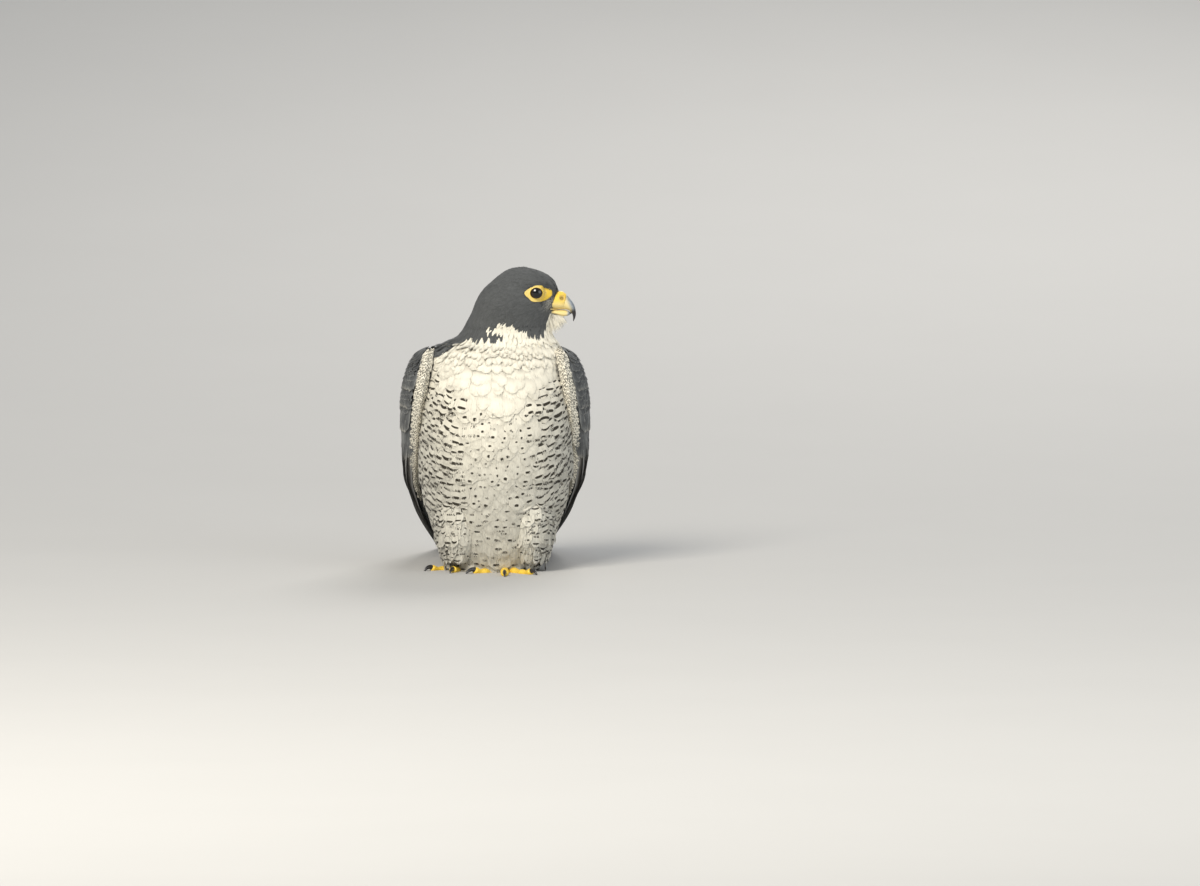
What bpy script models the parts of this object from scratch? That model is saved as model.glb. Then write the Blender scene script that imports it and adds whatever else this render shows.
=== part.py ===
"""A standing peregrine falcon at life size, with its head turned over its left shoulder.

Lengths are millimetres until a mesh is made.
The bird faces -Y, its left side is +X, and the floor is z = 0.
While a shape is worked out, y = 0 is the line of the legs.
"""

import bpy
import bmesh
import numpy as np

MM = 0.001

# Driving dimensions
CROWN_HEIGHT = 276.3
NECK_CUT_HEIGHT = 226.0
TRUNK_CUT_HEIGHT = 207.0
MIDDLE_OF_LENGTH = 87.0
GAP = 0.3
RING_POINTS = 28

# Body outline by height: z, right side x, left side x, front y, back y, narrowing towards the front
TRUNK_OUTLINE = (
    (13.0, -38.0, 38.0, -31.0, 46.0, 0.00),
    (15.0, -42.0, 42.0, -36.0, 62.0, 0.00),
    (25.0, -49.0, 49.0, -42.0, 92.0, -0.10),
    (40.0, -55.5, 55.5, -48.0, 121.0, -0.22),
    (60.0, -62.0, 62.0, -55.0, 129.0, -0.22),
    (80.0, -66.5, 67.0, -61.0, 124.0, -0.16),
    (100.0, -69.0, 70.5, -65.5, 112.0, -0.08),
    (125.0, -69.5, 71.0, -68.0, 95.0, 0.00),
    (150.0, -68.0, 70.0, -67.0, 79.0, 0.00),
    (170.0, -65.0, 67.0, -62.0, 65.0, 0.00),
    (188.0, -62.0, 63.0, -52.0, 50.0, 0.00),
    (200.0, -58.0, 60.5, -41.0, 38.0, 0.00),
    (206.0, -51.0, 58.0, -34.5, 32.0, 0.00),
    (210.0, -41.0, 55.5, -31.0, 28.5, 0.00),
)
HEAD_OUTLINE = (
    (214.0, -34.0, 53.0, -29.0, 26.0, 0.05),
    (220.0, -29.0, 51.0, -28.5, 24.5, 0.12),
    (228.0, -24.5, 51.5, -29.0, 23.0, 0.20),
    (236.0, -20.5, 53.5, -30.0, 22.5, 0.26),
    (244.0, -17.5, 56.0, -30.0, 22.0, 0.30),
    (251.0, -14.0, 57.5, -29.0, 21.0, 0.28),
    (257.0, -9.5, 57.0, -27.0, 19.0, 0.24),
    (263.0, -3.0, 54.5, -23.5, 15.5, 0.18),
    (269.0, 4.0, 48.0, -18.5, 10.5, 0.12),
    (273.5, 10.5, 38.5, -12.5, 4.5, 0.05),
    (CROWN_HEIGHT, 18.0, 28.0, -6.5, -1.5, 0.00),
)
HEAD_MIDDLE_Y = -4.0

# Eyes
EYE_RADIUS = 7.6
EYE_X = 37.4
EYE_HEIGHT = 253.8
EYE_SPREAD = 14.8

# Bill in the head's own upright plane: ridge x, ridge z, edge x, edge z, half width
CERE_STATIONS = (
    (49.0, 250.5, 49.0, 238.8, 6.6),
    (56.5, 254.2, 53.5, 238.6, 7.6),
    (60.5, 254.0, 57.5, 238.4, 7.6),
    (64.2, 251.8, 61.0, 238.2, 6.9),
)
UPPER_BILL_STATIONS = (
    (64.6, 251.0, 61.4, 238.2, 6.5),
    (67.2, 247.9, 64.2, 237.9, 5.8),
    (69.6, 244.9, 66.5, 237.1, 4.9),
    (71.4, 241.6, 68.2, 235.5, 3.9),
    (72.5, 237.8, 69.0, 234.2, 3.0),
    (72.9, 234.0, 69.9, 232.6, 2.1),
    (72.3, 230.6, 70.3, 230.2, 1.3),
    (70.9, 227.6, 70.3, 228.0, 0.4),
)
LOWER_BILL_STATIONS = (
    (49.0, 238.2, 49.0, 234.8, 5.6),
    (56.0, 238.0, 55.5, 233.4, 5.9),
    (61.5, 237.8, 60.7, 231.8, 5.4),
    (65.8, 236.6, 65.2, 232.2, 4.2),
    (68.6, 235.0, 68.4, 234.0, 1.8),
)
# How much narrower the bill is along its ridge than along its edge
BILL_NARROWING = 0.22

# Folded wing by height: z, leading edge x and y, widest x and y, rear edge x and y, thickness
WING_OUTLINE = (
    (205.5, 58.0, -6.0, 61.0, 4.0, 52.0, 14.0, 3.0),
    (200.0, 60.5, -24.0, 68.5, 4.0, 33.0, 40.0, 9.0),
    (188.0, 62.0, -33.0, 76.2, 4.0, 23.0, 56.0, 12.0),
    (172.0, 65.0, -32.0, 80.8, 8.0, 16.0, 71.0, 12.5),
    (150.0, 67.5, -23.0, 83.0, 16.0, 11.0, 88.0, 12.5),
    (125.0, 69.5, -5.0, 82.5, 30.0, 7.5, 105.0, 11.5),
    (100.0, 71.0, 20.0, 80.5, 54.0, 7.0, 122.0, 10.0),
    (80.0, 71.5, 54.0, 77.0, 86.0, 11.0, 142.0, 8.5),
    (60.0, 68.5, 96.0, 71.0, 120.0, 20.0, 171.0, 7.0),
    (40.0, 63.5, 142.0, 64.5, 160.0, 31.0, 200.0, 5.6),
    (24.0, 58.5, 178.0, 58.5, 192.0, 39.5, 220.0, 4.4),
    (11.0, 54.0, 206.0, 53.5, 216.0, 44.0, 232.0, 3.2),
    (3.0, 51.5, 224.0, 51.0, 230.0, 48.0, 237.0, 2.0),
)
WING_TIP_SPREAD = {"left": -9.0, "right": 0.5}
WING_POINTS = 10
# How far beyond the wing its room reaches out, so that nothing of the trunk is left outside it
WING_ROOM = 26.0
# Share of the way from the leading edge to the rear edge at which the wing is widest
WING_WIDEST_SHARE = 0.42
WING_REAR_THINNING = 0.78
WING_LEAST_DEPTH = 0.7

# Tail: distance along it, half width, half thickness
TAIL_BASE = (0.0, 92.0, 88.0)
TAIL_TIP = (0.0, 251.0, 0.9)
TAIL_STATIONS = (
    (0.00, 17.0, 3.6),
    (0.18, 22.0, 3.6),
    (0.45, 27.0, 3.0),
    (0.75, 31.0, 2.2),
    (0.93, 31.0, 1.7),
    (0.985, 25.0, 1.3),
    (1.00, 16.0, 1.0),
)
TAIL_ARCH = 5.0

# Feathered thigh by height: z, half width in x, half length in y
THIGH_CENTRE = (31.0, -5.0)
THIGH_OUTLINE = (
    (12.5, 12.0, 17.0),
    (15.0, 17.0, 25.0),
    (24.0, 21.0, 35.0),
    (38.0, 24.0, 41.0),
    (54.0, 24.5, 43.0),
    (68.0, 21.0, 40.0),
    (80.0, 13.0, 27.0),
    (84.0, 6.0, 14.0),
)

# Legs and toes
FOOT_PLACE = {"left": (9.0, -19.0), "right": (-26.0, 15.0)}
HEEL_PLACE = {"left": (23.0, 4.0, 52.0), "right": (-29.0, 22.0, 52.0)}
# Level heading of each toe in degrees, from straight ahead towards the bird's left
TOE_TURNS = {
    "left": {"middle": 0.0, "outer": 36.0, "inner": -54.0, "back": 176.0},
    "right": {"middle": -14.0, "outer": -50.0, "inner": 17.0, "back": 168.0},
}
# Each toe: length, thickness of its root and its end
TOES = {
    "middle": (45.0, 3.7, 2.9),
    "outer": (37.0, 3.5, 2.7),
    "inner": (30.0, 3.6, 2.8),
    "back": (19.0, 3.6, 2.9),
}
TOE_POINTS = 10
TOE_START = 2.5
TOE_END_LIFT = 2.7
TOE_ROOT_LIFT = 1.6
# Height of a toe's middle line as a share of its thickness, so that its pads press flat
TOE_SINK = 0.84
TOE_PADS = 3.0
TOE_PAD_SWELL = 0.09
# Middle of the foot by height: z, radius
SOLE_OUTLINE = ((0.0, 5.2), (0.8, 6.4), (3.0, 7.0), (6.0, 6.6), (8.6, 5.0), (9.6, 3.0))
CLAW_LENGTH = {"middle": 15.0, "outer": 13.5, "inner": 14.5, "back": 15.5}
CLAW_RADIUS = 2.3
CLAW_TIP_RADIUS = 0.22
CLAW_NARROWNESS = 0.85
# Rise of a claw's middle line at its root and at its tip, in degrees
CLAW_TURNS = (34.0, -84.0)
TARSUS_RADIUS = 4.3
# Extra radius of the bare leg from the foot up
TARSUS_SWELLS = (0.4, 0.0, -0.3, 0.0, 0.2)


def clear_scene():
    """Take every object out of the scene."""
    for item in list(bpy.data.objects):
        bpy.data.objects.remove(item, do_unlink=True)


def material(name, colour, roughness, metallic=0.0):
    """A plain finish for one kind of surface."""
    finish = bpy.data.materials.new(name)
    finish.use_nodes = True
    shader = finish.node_tree.nodes["Principled BSDF"]
    shader.inputs["Base Color"].default_value = (*colour, 1.0)
    shader.inputs["Roughness"].default_value = roughness
    shader.inputs["Metallic"].default_value = metallic
    return finish


def smooth_table(table, at):
    """Read a table's columns at new first-column values, with a smooth monotone cubic."""
    rows = np.array(table, float)
    keys = rows[:, 0]
    values = rows[:, 1:]
    steps = np.diff(keys)[:, None]
    slopes = np.diff(values, axis=0) / steps
    product = slopes[1:] * slopes[:-1]
    total = np.where(np.abs(slopes[1:] + slopes[:-1]) < 1e-9, 1.0, slopes[1:] + slopes[:-1])
    inner = np.where(product > 0.0, 2.0 * product / total, 0.0)
    tangents = np.vstack([slopes[:1], inner, slopes[-1:]])
    at = np.clip(np.asarray(at, float), keys.min(), keys.max())
    left = np.clip(np.searchsorted(keys, at, side="right") - 1, 0, len(keys) - 2)
    width = (keys[left + 1] - keys[left])[:, None]
    t = ((at - keys[left])[:, None]) / width
    return (
        values[left] * (2 * t**3 - 3 * t**2 + 1)
        + tangents[left] * width * (t**3 - 2 * t**2 + t)
        + values[left + 1] * (3 * t**2 - 2 * t**3)
        + tangents[left + 1] * width * (t**3 - t**2)
    )


def object_from_mesh(name, points, faces, finish):
    """A closed mesh object, from points in millimetres about the leg line."""
    points = np.asarray(points, float) - np.array([0.0, MIDDLE_OF_LENGTH, 0.0])
    mesh = bpy.data.meshes.new(name)
    mesh.from_pydata((points * MM).tolist(), [], faces)
    edit = bmesh.new()
    edit.from_mesh(mesh)
    bmesh.ops.recalc_face_normals(edit, faces=edit.faces)
    bmesh.ops.triangulate(edit, faces=edit.faces)
    edit.to_mesh(mesh)
    edit.free()
    mesh.shade_smooth()
    mesh.materials.append(finish)
    item = bpy.data.objects.new(name, mesh)
    bpy.context.scene.collection.objects.link(item)
    return item


def loft(name, rings, finish):
    """Join rings of equal point counts into one closed body, capped at both ends."""
    rings = np.asarray(rings, float)
    count, around = rings.shape[:2]
    faces = []
    for ring in range(count - 1):
        for point in range(around):
            following = (point + 1) % around
            low = ring * around
            high = low + around
            faces.append((low + point, low + following, high + following, high + point))
    caps = np.array([rings[0].mean(axis=0), rings[-1].mean(axis=0)])
    points = np.vstack([rings.reshape(-1, 3), caps])
    first_cap = count * around
    for point in range(around):
        following = (point + 1) % around
        faces.append((point, first_cap, following))
        last = (count - 1) * around
        faces.append((last + point, last + following, first_cap + 1))
    return object_from_mesh(name, points, faces, finish)


def body_ring(row, height, grow=0.0):
    """One level outline: an ellipse with its own reach each way, narrowed towards one end."""
    right, left, front, back, narrowing = row
    angle = np.linspace(0.0, 2.0 * np.pi, RING_POINTS, endpoint=False)
    centre_x = 0.5 * (left + right)
    reach_x = 0.5 * (left - right) + grow
    centre_y = 0.5 * (front + back)
    reach_y = 0.5 * (back - front) + grow
    across = np.cos(angle)
    along = np.sin(angle)
    # The head narrows towards its bill at +x, and the trunk narrows towards its rear at +y
    narrow_y = 1.0 - max(narrowing, 0.0) * across
    narrow_x = 1.0 + min(narrowing, 0.0) * along
    x = centre_x + reach_x * across * narrow_x
    y = centre_y + reach_y * along * narrow_y
    return np.stack([x, y, np.full_like(x, height)], axis=1)


def body_piece(name, heights, finish):
    """A stretch of the body between two levels, as a stack of level outlines."""
    table = TRUNK_OUTLINE + HEAD_OUTLINE
    rows = smooth_table(table, heights)
    return loft(name, [body_ring(row, height) for row, height in zip(rows, heights)], finish)


def wing_row_points(row, side, inset, outset):
    """A level strip of the folded wing: its outer curve, then its inner curve."""
    lead_x, lead_y, wide_x, wide_y, rear_x, rear_y, thickness = row
    t = np.linspace(0.0, 1.0, WING_POINTS)
    # A quadratic curve from the leading edge through the widest place to the rear edge
    middle = WING_WIDEST_SHARE
    pull = 2.0 * middle * (1.0 - middle)
    control_x = (wide_x - (1 - middle) ** 2 * lead_x - middle**2 * rear_x) / pull
    control_y = (wide_y - (1 - middle) ** 2 * lead_y - middle**2 * rear_y) / pull
    x = (1 - t) ** 2 * lead_x + 2 * t * (1 - t) * control_x + t**2 * rear_x
    y = (1 - t) ** 2 * lead_y + 2 * t * (1 - t) * control_y + t**2 * rear_y
    along_x = np.gradient(x)
    along_y = np.gradient(y)
    length = np.hypot(along_x, along_y)
    out_x = along_y / length
    out_y = -along_x / length
    x[[0, -1]] += inset * np.array([-along_x[0], along_x[-1]]) / length[[0, -1]]
    y[[0, -1]] += inset * np.array([-along_y[0], along_y[-1]]) / length[[0, -1]]
    # Round at the leading edge, thin at the rear edge
    fullness = np.minimum(1.0, np.sqrt(t * 5.0)) * (1.0 - WING_REAR_THINNING * t**2)
    depth = thickness * fullness + WING_LEAST_DEPTH
    outer = np.stack([x + out_x * outset, y + out_y * outset], axis=1)
    inner = np.stack([x - out_x * (depth + inset), y - out_y * (depth + inset)], axis=1)
    strip = np.vstack([outer, inner[::-1]])
    strip[:, 0] *= side
    return strip


def wing_rings(side_name, heights, inset=0.0, outset=0.0):
    """The folded wing's level strips from top to tip."""
    side = 1.0 if side_name == "left" else -1.0
    table = sorted(WING_OUTLINE)
    rows = smooth_table(table, heights)
    drop = np.clip(1.0 - heights / 110.0, 0.0, 1.0)[:, None]
    rows[:, [0, 2, 4]] += WING_TIP_SPREAD[side_name] * drop
    rings = []
    for row, height in zip(rows, heights):
        strip = wing_row_points(row, side, inset, outset)
        rings.append(np.column_stack([strip, np.full(len(strip), height)]))
    return np.array(rings)


def wing_heights():
    """The levels at which the wing is drawn, close together at the tip and shoulder."""
    return np.concatenate([[3.0, 6.0, 11.0, 19.0, 30.0], np.arange(43.0, 185.0, 17.0),
                           [192.0, 200.0, 205.5]])


def wing(side_name, finish):
    """One folded wing, from the shoulder down to the tip of its longest feather."""
    return loft("wing_" + side_name, wing_rings(side_name, wing_heights()), finish)


def wing_cutter(side_name, finish):
    """What the wing takes from the trunk: its inner face and all that is outside it."""
    rings = wing_rings(side_name, wing_heights(), inset=1.5 * GAP, outset=WING_ROOM)
    lowest = rings[:1] - np.array([0.0, 0.0, GAP])
    highest = rings[-1:] + np.array([0.0, 0.0, 4.0])
    return loft("wing_room_" + side_name, np.vstack([lowest, rings, highest]), finish)


def tail_rings(grow=0.0):
    """Flat arched sections of the folded tail, from its root to its rounded end."""
    base = np.array(TAIL_BASE)
    tip = np.array(TAIL_TIP)
    along = (tip - base) / np.linalg.norm(tip - base)
    up = np.cross(np.array([1.0, 0.0, 0.0]), along)
    rings = []
    places = np.array([0.0, 0.18, 0.45, 0.75, 0.87, 0.93, 0.965, 0.985, 1.0])
    angle = np.linspace(0.0, 2.0 * np.pi, 16, endpoint=False)
    for place, (half_width, half_depth) in zip(places, smooth_table(TAIL_STATIONS, places)):
        across = (half_width + grow) * np.cos(angle)
        lift = (half_depth + grow) * np.sign(np.sin(angle)) * np.abs(np.sin(angle)) ** 0.6
        lift -= TAIL_ARCH * (1.0 - place) * (across / half_width) ** 2
        stretch = place + (grow / 180.0 if place == 1.0 else 0.0)
        centre = base + (tip - base) * stretch
        ring = centre + across[:, None] * np.array([1.0, 0.0, 0.0]) + lift[:, None] * up
        rings.append(ring)
    rings = np.array(rings)
    if grow == 0.0:
        rings[:, :, 2] = np.maximum(rings[:, :, 2], 0.0)
    else:
        rings[0] -= along * grow
    return rings


def thigh(side_name, finish, grow=0.0):
    """The feathered upper leg, a soft lobe below the flank."""
    side = 1.0 if side_name == "left" else -1.0
    heights = np.array([12.5, 15.0, 21.0, 29.0, 40.0, 54.0, 68.0, 79.0, 84.0])
    angle = np.linspace(0.0, 2.0 * np.pi, 16, endpoint=False)
    rings = []
    for height, (half_width, half_length) in zip(heights, smooth_table(THIGH_OUTLINE, heights)):
        x = side * THIGH_CENTRE[0] + (half_width + grow) * np.cos(angle)
        y = THIGH_CENTRE[1] + (half_length + grow) * np.sin(angle)
        rings.append(np.stack([x, y, np.full_like(x, height)], axis=1))
    rings = np.array(rings)
    if grow > 0.0:
        rings[0, :, 2] -= 4.0
        rings[-1, :, 2] += grow
    name = ("thigh_room_" if grow > 0.0 else "thigh_") + side_name
    return loft(name, rings, finish)


def tube_rings(path, half_widths, half_heights, around):
    """Oval rings square to a path that stays in one upright plane."""
    path = np.asarray(path, float)
    along = np.gradient(path, axis=0)
    along /= np.linalg.norm(along, axis=1)[:, None]
    flat = path[-1] - path[0]
    side = np.array([-flat[1], flat[0], 0.0])
    if np.linalg.norm(side) < 1e-6:
        side = np.array([1.0, 0.0, 0.0])
    side /= np.linalg.norm(side)
    up = np.cross(along, side)
    angle = np.linspace(0.0, 2.0 * np.pi, around, endpoint=False)
    wide = np.cos(angle)[None, :, None] * np.asarray(half_widths)[:, None, None]
    high = np.sin(angle)[None, :, None] * np.asarray(half_heights)[:, None, None]
    return path[:, None, :] + wide * side[None, None, :] + high * up[:, None, :]


def square_end(ring, place, heading):
    """Press a ring flat against the upright plane through a place, square to a level heading."""
    return ring - ((ring - place) @ heading)[:, None] * heading


def toe_heading(side_name, toe_name):
    """The level direction of a toe."""
    turn = np.radians(TOE_TURNS[side_name][toe_name])
    return np.array([np.sin(turn), -np.cos(turn), 0.0])


def toe_path(side_name, toe_name):
    """A toe's middle line and half thickness: low arches over the pads, ending level."""
    length, root, end = TOES[toe_name]
    heading = toe_heading(side_name, toe_name)
    t = np.linspace(0.0, 1.0, 8)
    start = np.array([*FOOT_PLACE[side_name], 0.0]) + heading * TOE_START
    radius = root + (end - root) * t
    radius = radius * (1.0 + TOE_PAD_SWELL * np.cos(2.0 * np.pi * TOE_PADS * t))
    lift = TOE_SINK * radius + TOE_ROOT_LIFT * (1.0 - t) ** 2 + TOE_END_LIFT * t**5
    path = start + heading * (length * t)[:, None]
    path[:, 2] = lift
    return path, radius


def toe_body(side_name, toe_name, finish):
    """One toe, flat where its pads rest on the floor."""
    path, radius = toe_path(side_name, toe_name)
    rings = tube_rings(path, radius, radius, TOE_POINTS)
    rings[-1] = square_end(rings[-1], path[-1], toe_heading(side_name, toe_name))
    rings[:, :, 2] = np.maximum(rings[:, :, 2], 0.0)
    return loft("toe", rings, finish)


def claw(side_name, toe_name, finish):
    """A claw that starts at the toe's end and curls down to the floor."""
    path, radius = toe_path(side_name, toe_name)
    heading = toe_heading(side_name, toe_name)
    start = path[-1] + heading * GAP
    t = np.linspace(0.0, 1.0, 7)
    length = CLAW_LENGTH[toe_name]
    first_angle, last_angle = np.radians(CLAW_TURNS)
    angle = first_angle + (last_angle - first_angle) * t
    step = length / (len(t) - 1)
    ahead = np.concatenate([[0.0], np.cumsum(np.cos(0.5 * (angle[1:] + angle[:-1])) * step)])
    rise = np.concatenate([[0.0], np.cumsum(np.sin(0.5 * (angle[1:] + angle[:-1])) * step)])
    room = start[2] - 0.5
    rise = rise * min(1.0, room / max(1e-6, -rise[-1])) if rise[-1] < 0 else rise
    curve = start + heading * ahead[:, None]
    curve[:, 2] = start[2] + rise
    thickness = CLAW_RADIUS * (1.0 - t) ** 0.75 + CLAW_TIP_RADIUS
    rings = tube_rings(curve, thickness * CLAW_NARROWNESS, thickness, 6)
    rings[0] = square_end(rings[0], start, heading)
    rings[:, :, 2] = np.maximum(rings[:, :, 2], 0.25)
    return loft("claw_" + side_name + "_" + toe_name, rings, finish)


def tarsus(side_name, finish, grow=0.0):
    """The bare lower leg, from the foot up into the feathers of the thigh."""
    foot = np.array([*FOOT_PLACE[side_name], 5.0])
    heel = np.array(HEEL_PLACE[side_name])
    t = np.linspace(0.0, 1.0, 5)[:, None]
    path = foot + (heel - foot) * t
    if grow > 0.0:
        path[-1] += (heel - foot) / np.linalg.norm(heel - foot) * grow
    radius = TARSUS_RADIUS + np.array(TARSUS_SWELLS) + grow
    name = ("tarsus_room_" if grow > 0.0 else "tarsus_") + side_name
    return loft(name, tube_rings(path, radius, radius, 10), finish)


def apply_boolean(target, tool, operation):
    """Combine a tool body into the target and drop the tool."""
    cut = target.modifiers.new(operation.lower(), "BOOLEAN")
    cut.operation = operation
    cut.solver = "EXACT"
    cut.object = tool
    view = bpy.context.evaluated_depsgraph_get()
    result = bpy.data.meshes.new_from_object(target.evaluated_get(view))
    target.modifiers.remove(cut)
    old = target.data
    target.data = result
    bpy.data.meshes.remove(old)
    bpy.data.objects.remove(tool, do_unlink=True)


def sole(side_name, finish):
    """The middle of the foot, where the toes meet over a small flat."""
    place = np.array([*FOOT_PLACE[side_name], 0.0])
    angle = np.linspace(0.0, 2.0 * np.pi, 16, endpoint=False)
    circle = np.stack([np.cos(angle), np.sin(angle), np.zeros_like(angle)], axis=1)
    rings = [place + circle * radius + [0.0, 0.0, height] for height, radius in SOLE_OUTLINE]
    return loft("sole", rings, finish)


def foot(side_name, finish):
    """The lower leg, sole and four toes as one piece."""
    whole = tarsus(side_name, finish)
    whole.name = "foot_" + side_name
    apply_boolean(whole, sole(side_name, finish), "UNION")
    for toe_name in TOES:
        apply_boolean(whole, toe_body(side_name, toe_name, finish), "UNION")
    return whole


def eye(side_name, finish, grow=0.0):
    """An eyeball, sunk so that only its cap shows."""
    # The head faces the bird's left, so its left eye is on the far side from the breast
    side = 1.0 if side_name == "left" else -1.0
    centre = np.array([EYE_X, HEAD_MIDDLE_Y + side * EYE_SPREAD, EYE_HEIGHT])
    radius = EYE_RADIUS + grow
    latitude = np.linspace(-0.5 * np.pi, 0.5 * np.pi, 9)[1:-1]
    angle = np.linspace(0.0, 2.0 * np.pi, 14, endpoint=False)
    rings = []
    for level in latitude:
        x = np.cos(level) * np.cos(angle)
        z = np.cos(level) * np.sin(angle)
        y = np.full_like(x, np.sin(level))
        rings.append(centre + radius * np.stack([x, y, z], axis=1))
    name = ("eye_room_" if grow > 0.0 else "eye_") + side_name
    return loft(name, rings, finish)


def bill_rings(stations, grow=0.0, around=16):
    """Rings that stand between a ridge point and an edge point, rounded above, flatter below."""
    angle = np.linspace(0.0, 2.0 * np.pi, around, endpoint=False)
    rings = []
    for ridge_x, ridge_z, edge_x, edge_z, half_width in stations:
        ridge = np.array([ridge_x, HEAD_MIDDLE_Y, ridge_z])
        edge = np.array([edge_x, HEAD_MIDDLE_Y, edge_z])
        centre = 0.5 * (ridge + edge)
        reach = np.linalg.norm(ridge - edge)
        up = (ridge - edge) / max(reach, 1e-6)
        high = np.sin(angle)
        wide = np.cos(angle) * (1.0 - BILL_NARROWING * high)
        tall = np.sign(high) * np.abs(high) ** 0.85
        ring = centre + (half_width + grow) * wide[:, None] * np.array([0.0, 1.0, 0.0])
        ring = ring + (0.5 * reach + grow) * tall[:, None] * up
        rings.append(ring)
    rings = np.array(rings)
    if grow > 0.0:
        rings[0, :, 0] -= grow
    return rings


def trim(target, tools):
    """Take each tool's room out of the target."""
    for tool in tools:
        apply_boolean(target, tool, "DIFFERENCE")


def main():
    clear_scene()
    slate = material("slate_plumage", (0.085, 0.095, 0.105), 0.85)
    cream = material("cream_plumage", (0.72, 0.66, 0.54), 0.9)
    wing_finish = material("wing_plumage", (0.12, 0.13, 0.14), 0.8)
    tail_finish = material("tail_plumage", (0.16, 0.16, 0.16), 0.8)
    thigh_finish = material("thigh_plumage", (0.62, 0.56, 0.44), 0.9)
    yellow = material("yellow_skin", (0.86, 0.60, 0.13), 0.5)
    horn = material("dark_horn", (0.05, 0.05, 0.05), 0.3)
    grey_horn = material("grey_horn", (0.35, 0.37, 0.38), 0.35)
    pale_horn = material("pale_horn", (0.78, 0.68, 0.35), 0.4)
    eye_finish = material("dark_eye", (0.02, 0.012, 0.008), 0.08)

    trunk_heights = np.concatenate([[13.0, 15.0, 19.0, 25.0, 32.0], np.arange(42.0, 190.0, 15.0),
                                    [186.0, 195.0, 201.0, TRUNK_CUT_HEIGHT]])
    neck_heights = np.array([TRUNK_CUT_HEIGHT + GAP, 209.5, 212.5, 218.0, NECK_CUT_HEIGHT])
    head_heights = np.concatenate([[NECK_CUT_HEIGHT + GAP], np.arange(232.0, 264.0, 6.0),
                                   [266.0, 270.5, 274.0, CROWN_HEIGHT]])
    trunk = body_piece("trunk", trunk_heights, cream)
    body_piece("neck", neck_heights, slate)
    head = body_piece("head", head_heights, slate)

    loft("cere", bill_rings(CERE_STATIONS), yellow)
    loft("bill_upper", bill_rings(UPPER_BILL_STATIONS), grey_horn)
    loft("bill_lower", bill_rings(LOWER_BILL_STATIONS), pale_horn)
    trim(head, [loft("cere_room", bill_rings(CERE_STATIONS, GAP), horn),
                loft("bill_room", bill_rings(LOWER_BILL_STATIONS, GAP), horn)])

    loft("tail", tail_rings(), tail_finish)
    trim(trunk, [loft("tail_room", tail_rings(GAP), horn)])

    for side_name in ("left", "right"):
        eye(side_name, eye_finish)
        trim(head, [eye(side_name, horn, GAP)])
        wing(side_name, wing_finish)
        upper_leg = thigh(side_name, thigh_finish)
        trim(trunk, [wing_cutter(side_name, horn), thigh(side_name, horn, GAP)])
        foot(side_name, yellow)
        trim(upper_leg, [tarsus(side_name, horn, GAP)])
        trim(trunk, [tarsus(side_name, horn, GAP)])
        for toe_name in TOES:
            claw(side_name, toe_name, horn)


main()
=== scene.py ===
"""Looks of a life-size peregrine falcon: skin, feathers, bill, eyes, feet and a pale stage.

Shapes are worked out in millimetres in the bird's own frame, where y = 0 is the line of the legs,
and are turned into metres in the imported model's frame when a mesh is made.
The breast faces -Y, the head is turned towards +X, and the floor is z = 0.
"""

import math

import bpy
import numpy as np
from mathutils import Matrix


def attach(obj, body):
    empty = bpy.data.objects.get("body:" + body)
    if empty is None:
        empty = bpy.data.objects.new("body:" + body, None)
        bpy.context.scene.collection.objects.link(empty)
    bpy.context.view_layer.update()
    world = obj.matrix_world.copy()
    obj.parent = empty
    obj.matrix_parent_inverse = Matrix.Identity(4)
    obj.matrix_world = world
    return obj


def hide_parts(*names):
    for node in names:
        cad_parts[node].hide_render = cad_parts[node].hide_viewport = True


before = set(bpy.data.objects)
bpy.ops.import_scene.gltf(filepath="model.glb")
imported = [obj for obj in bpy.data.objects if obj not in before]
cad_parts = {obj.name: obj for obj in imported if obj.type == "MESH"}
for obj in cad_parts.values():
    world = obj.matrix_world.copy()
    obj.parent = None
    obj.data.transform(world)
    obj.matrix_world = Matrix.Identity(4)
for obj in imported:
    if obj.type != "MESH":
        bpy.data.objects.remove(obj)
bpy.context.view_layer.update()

bl_info = {
    "name": "Peregrine falcon",
    "version": (1, 0, 0),
    "blender": (4, 5, 0),
    "location": "3D View > Sidebar > Falcon",
    "description": "Makes the skin, feathers, bill, eyes, feet and stage of a standing falcon",
    "category": "Add Mesh",
}

MM = 0.001
MIDDLE_OF_LENGTH = 87.0
PATCH = 0.003
TRIANGLE_LIMIT = 190000
SLOPE_STEP = 0.02
VANE_THICKNESS = 0.10
VANE_CAMBER = 0.10
VANE_ROUNDNESS = 0.22
BARB_ROWS = 3
BARB_THICKNESS = 0.13
LOWEST_BARB = 0.4
LEAST_BEND = -0.07
BAR_GAP = 0.34
SKIN_VOXEL = 1.9

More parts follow.
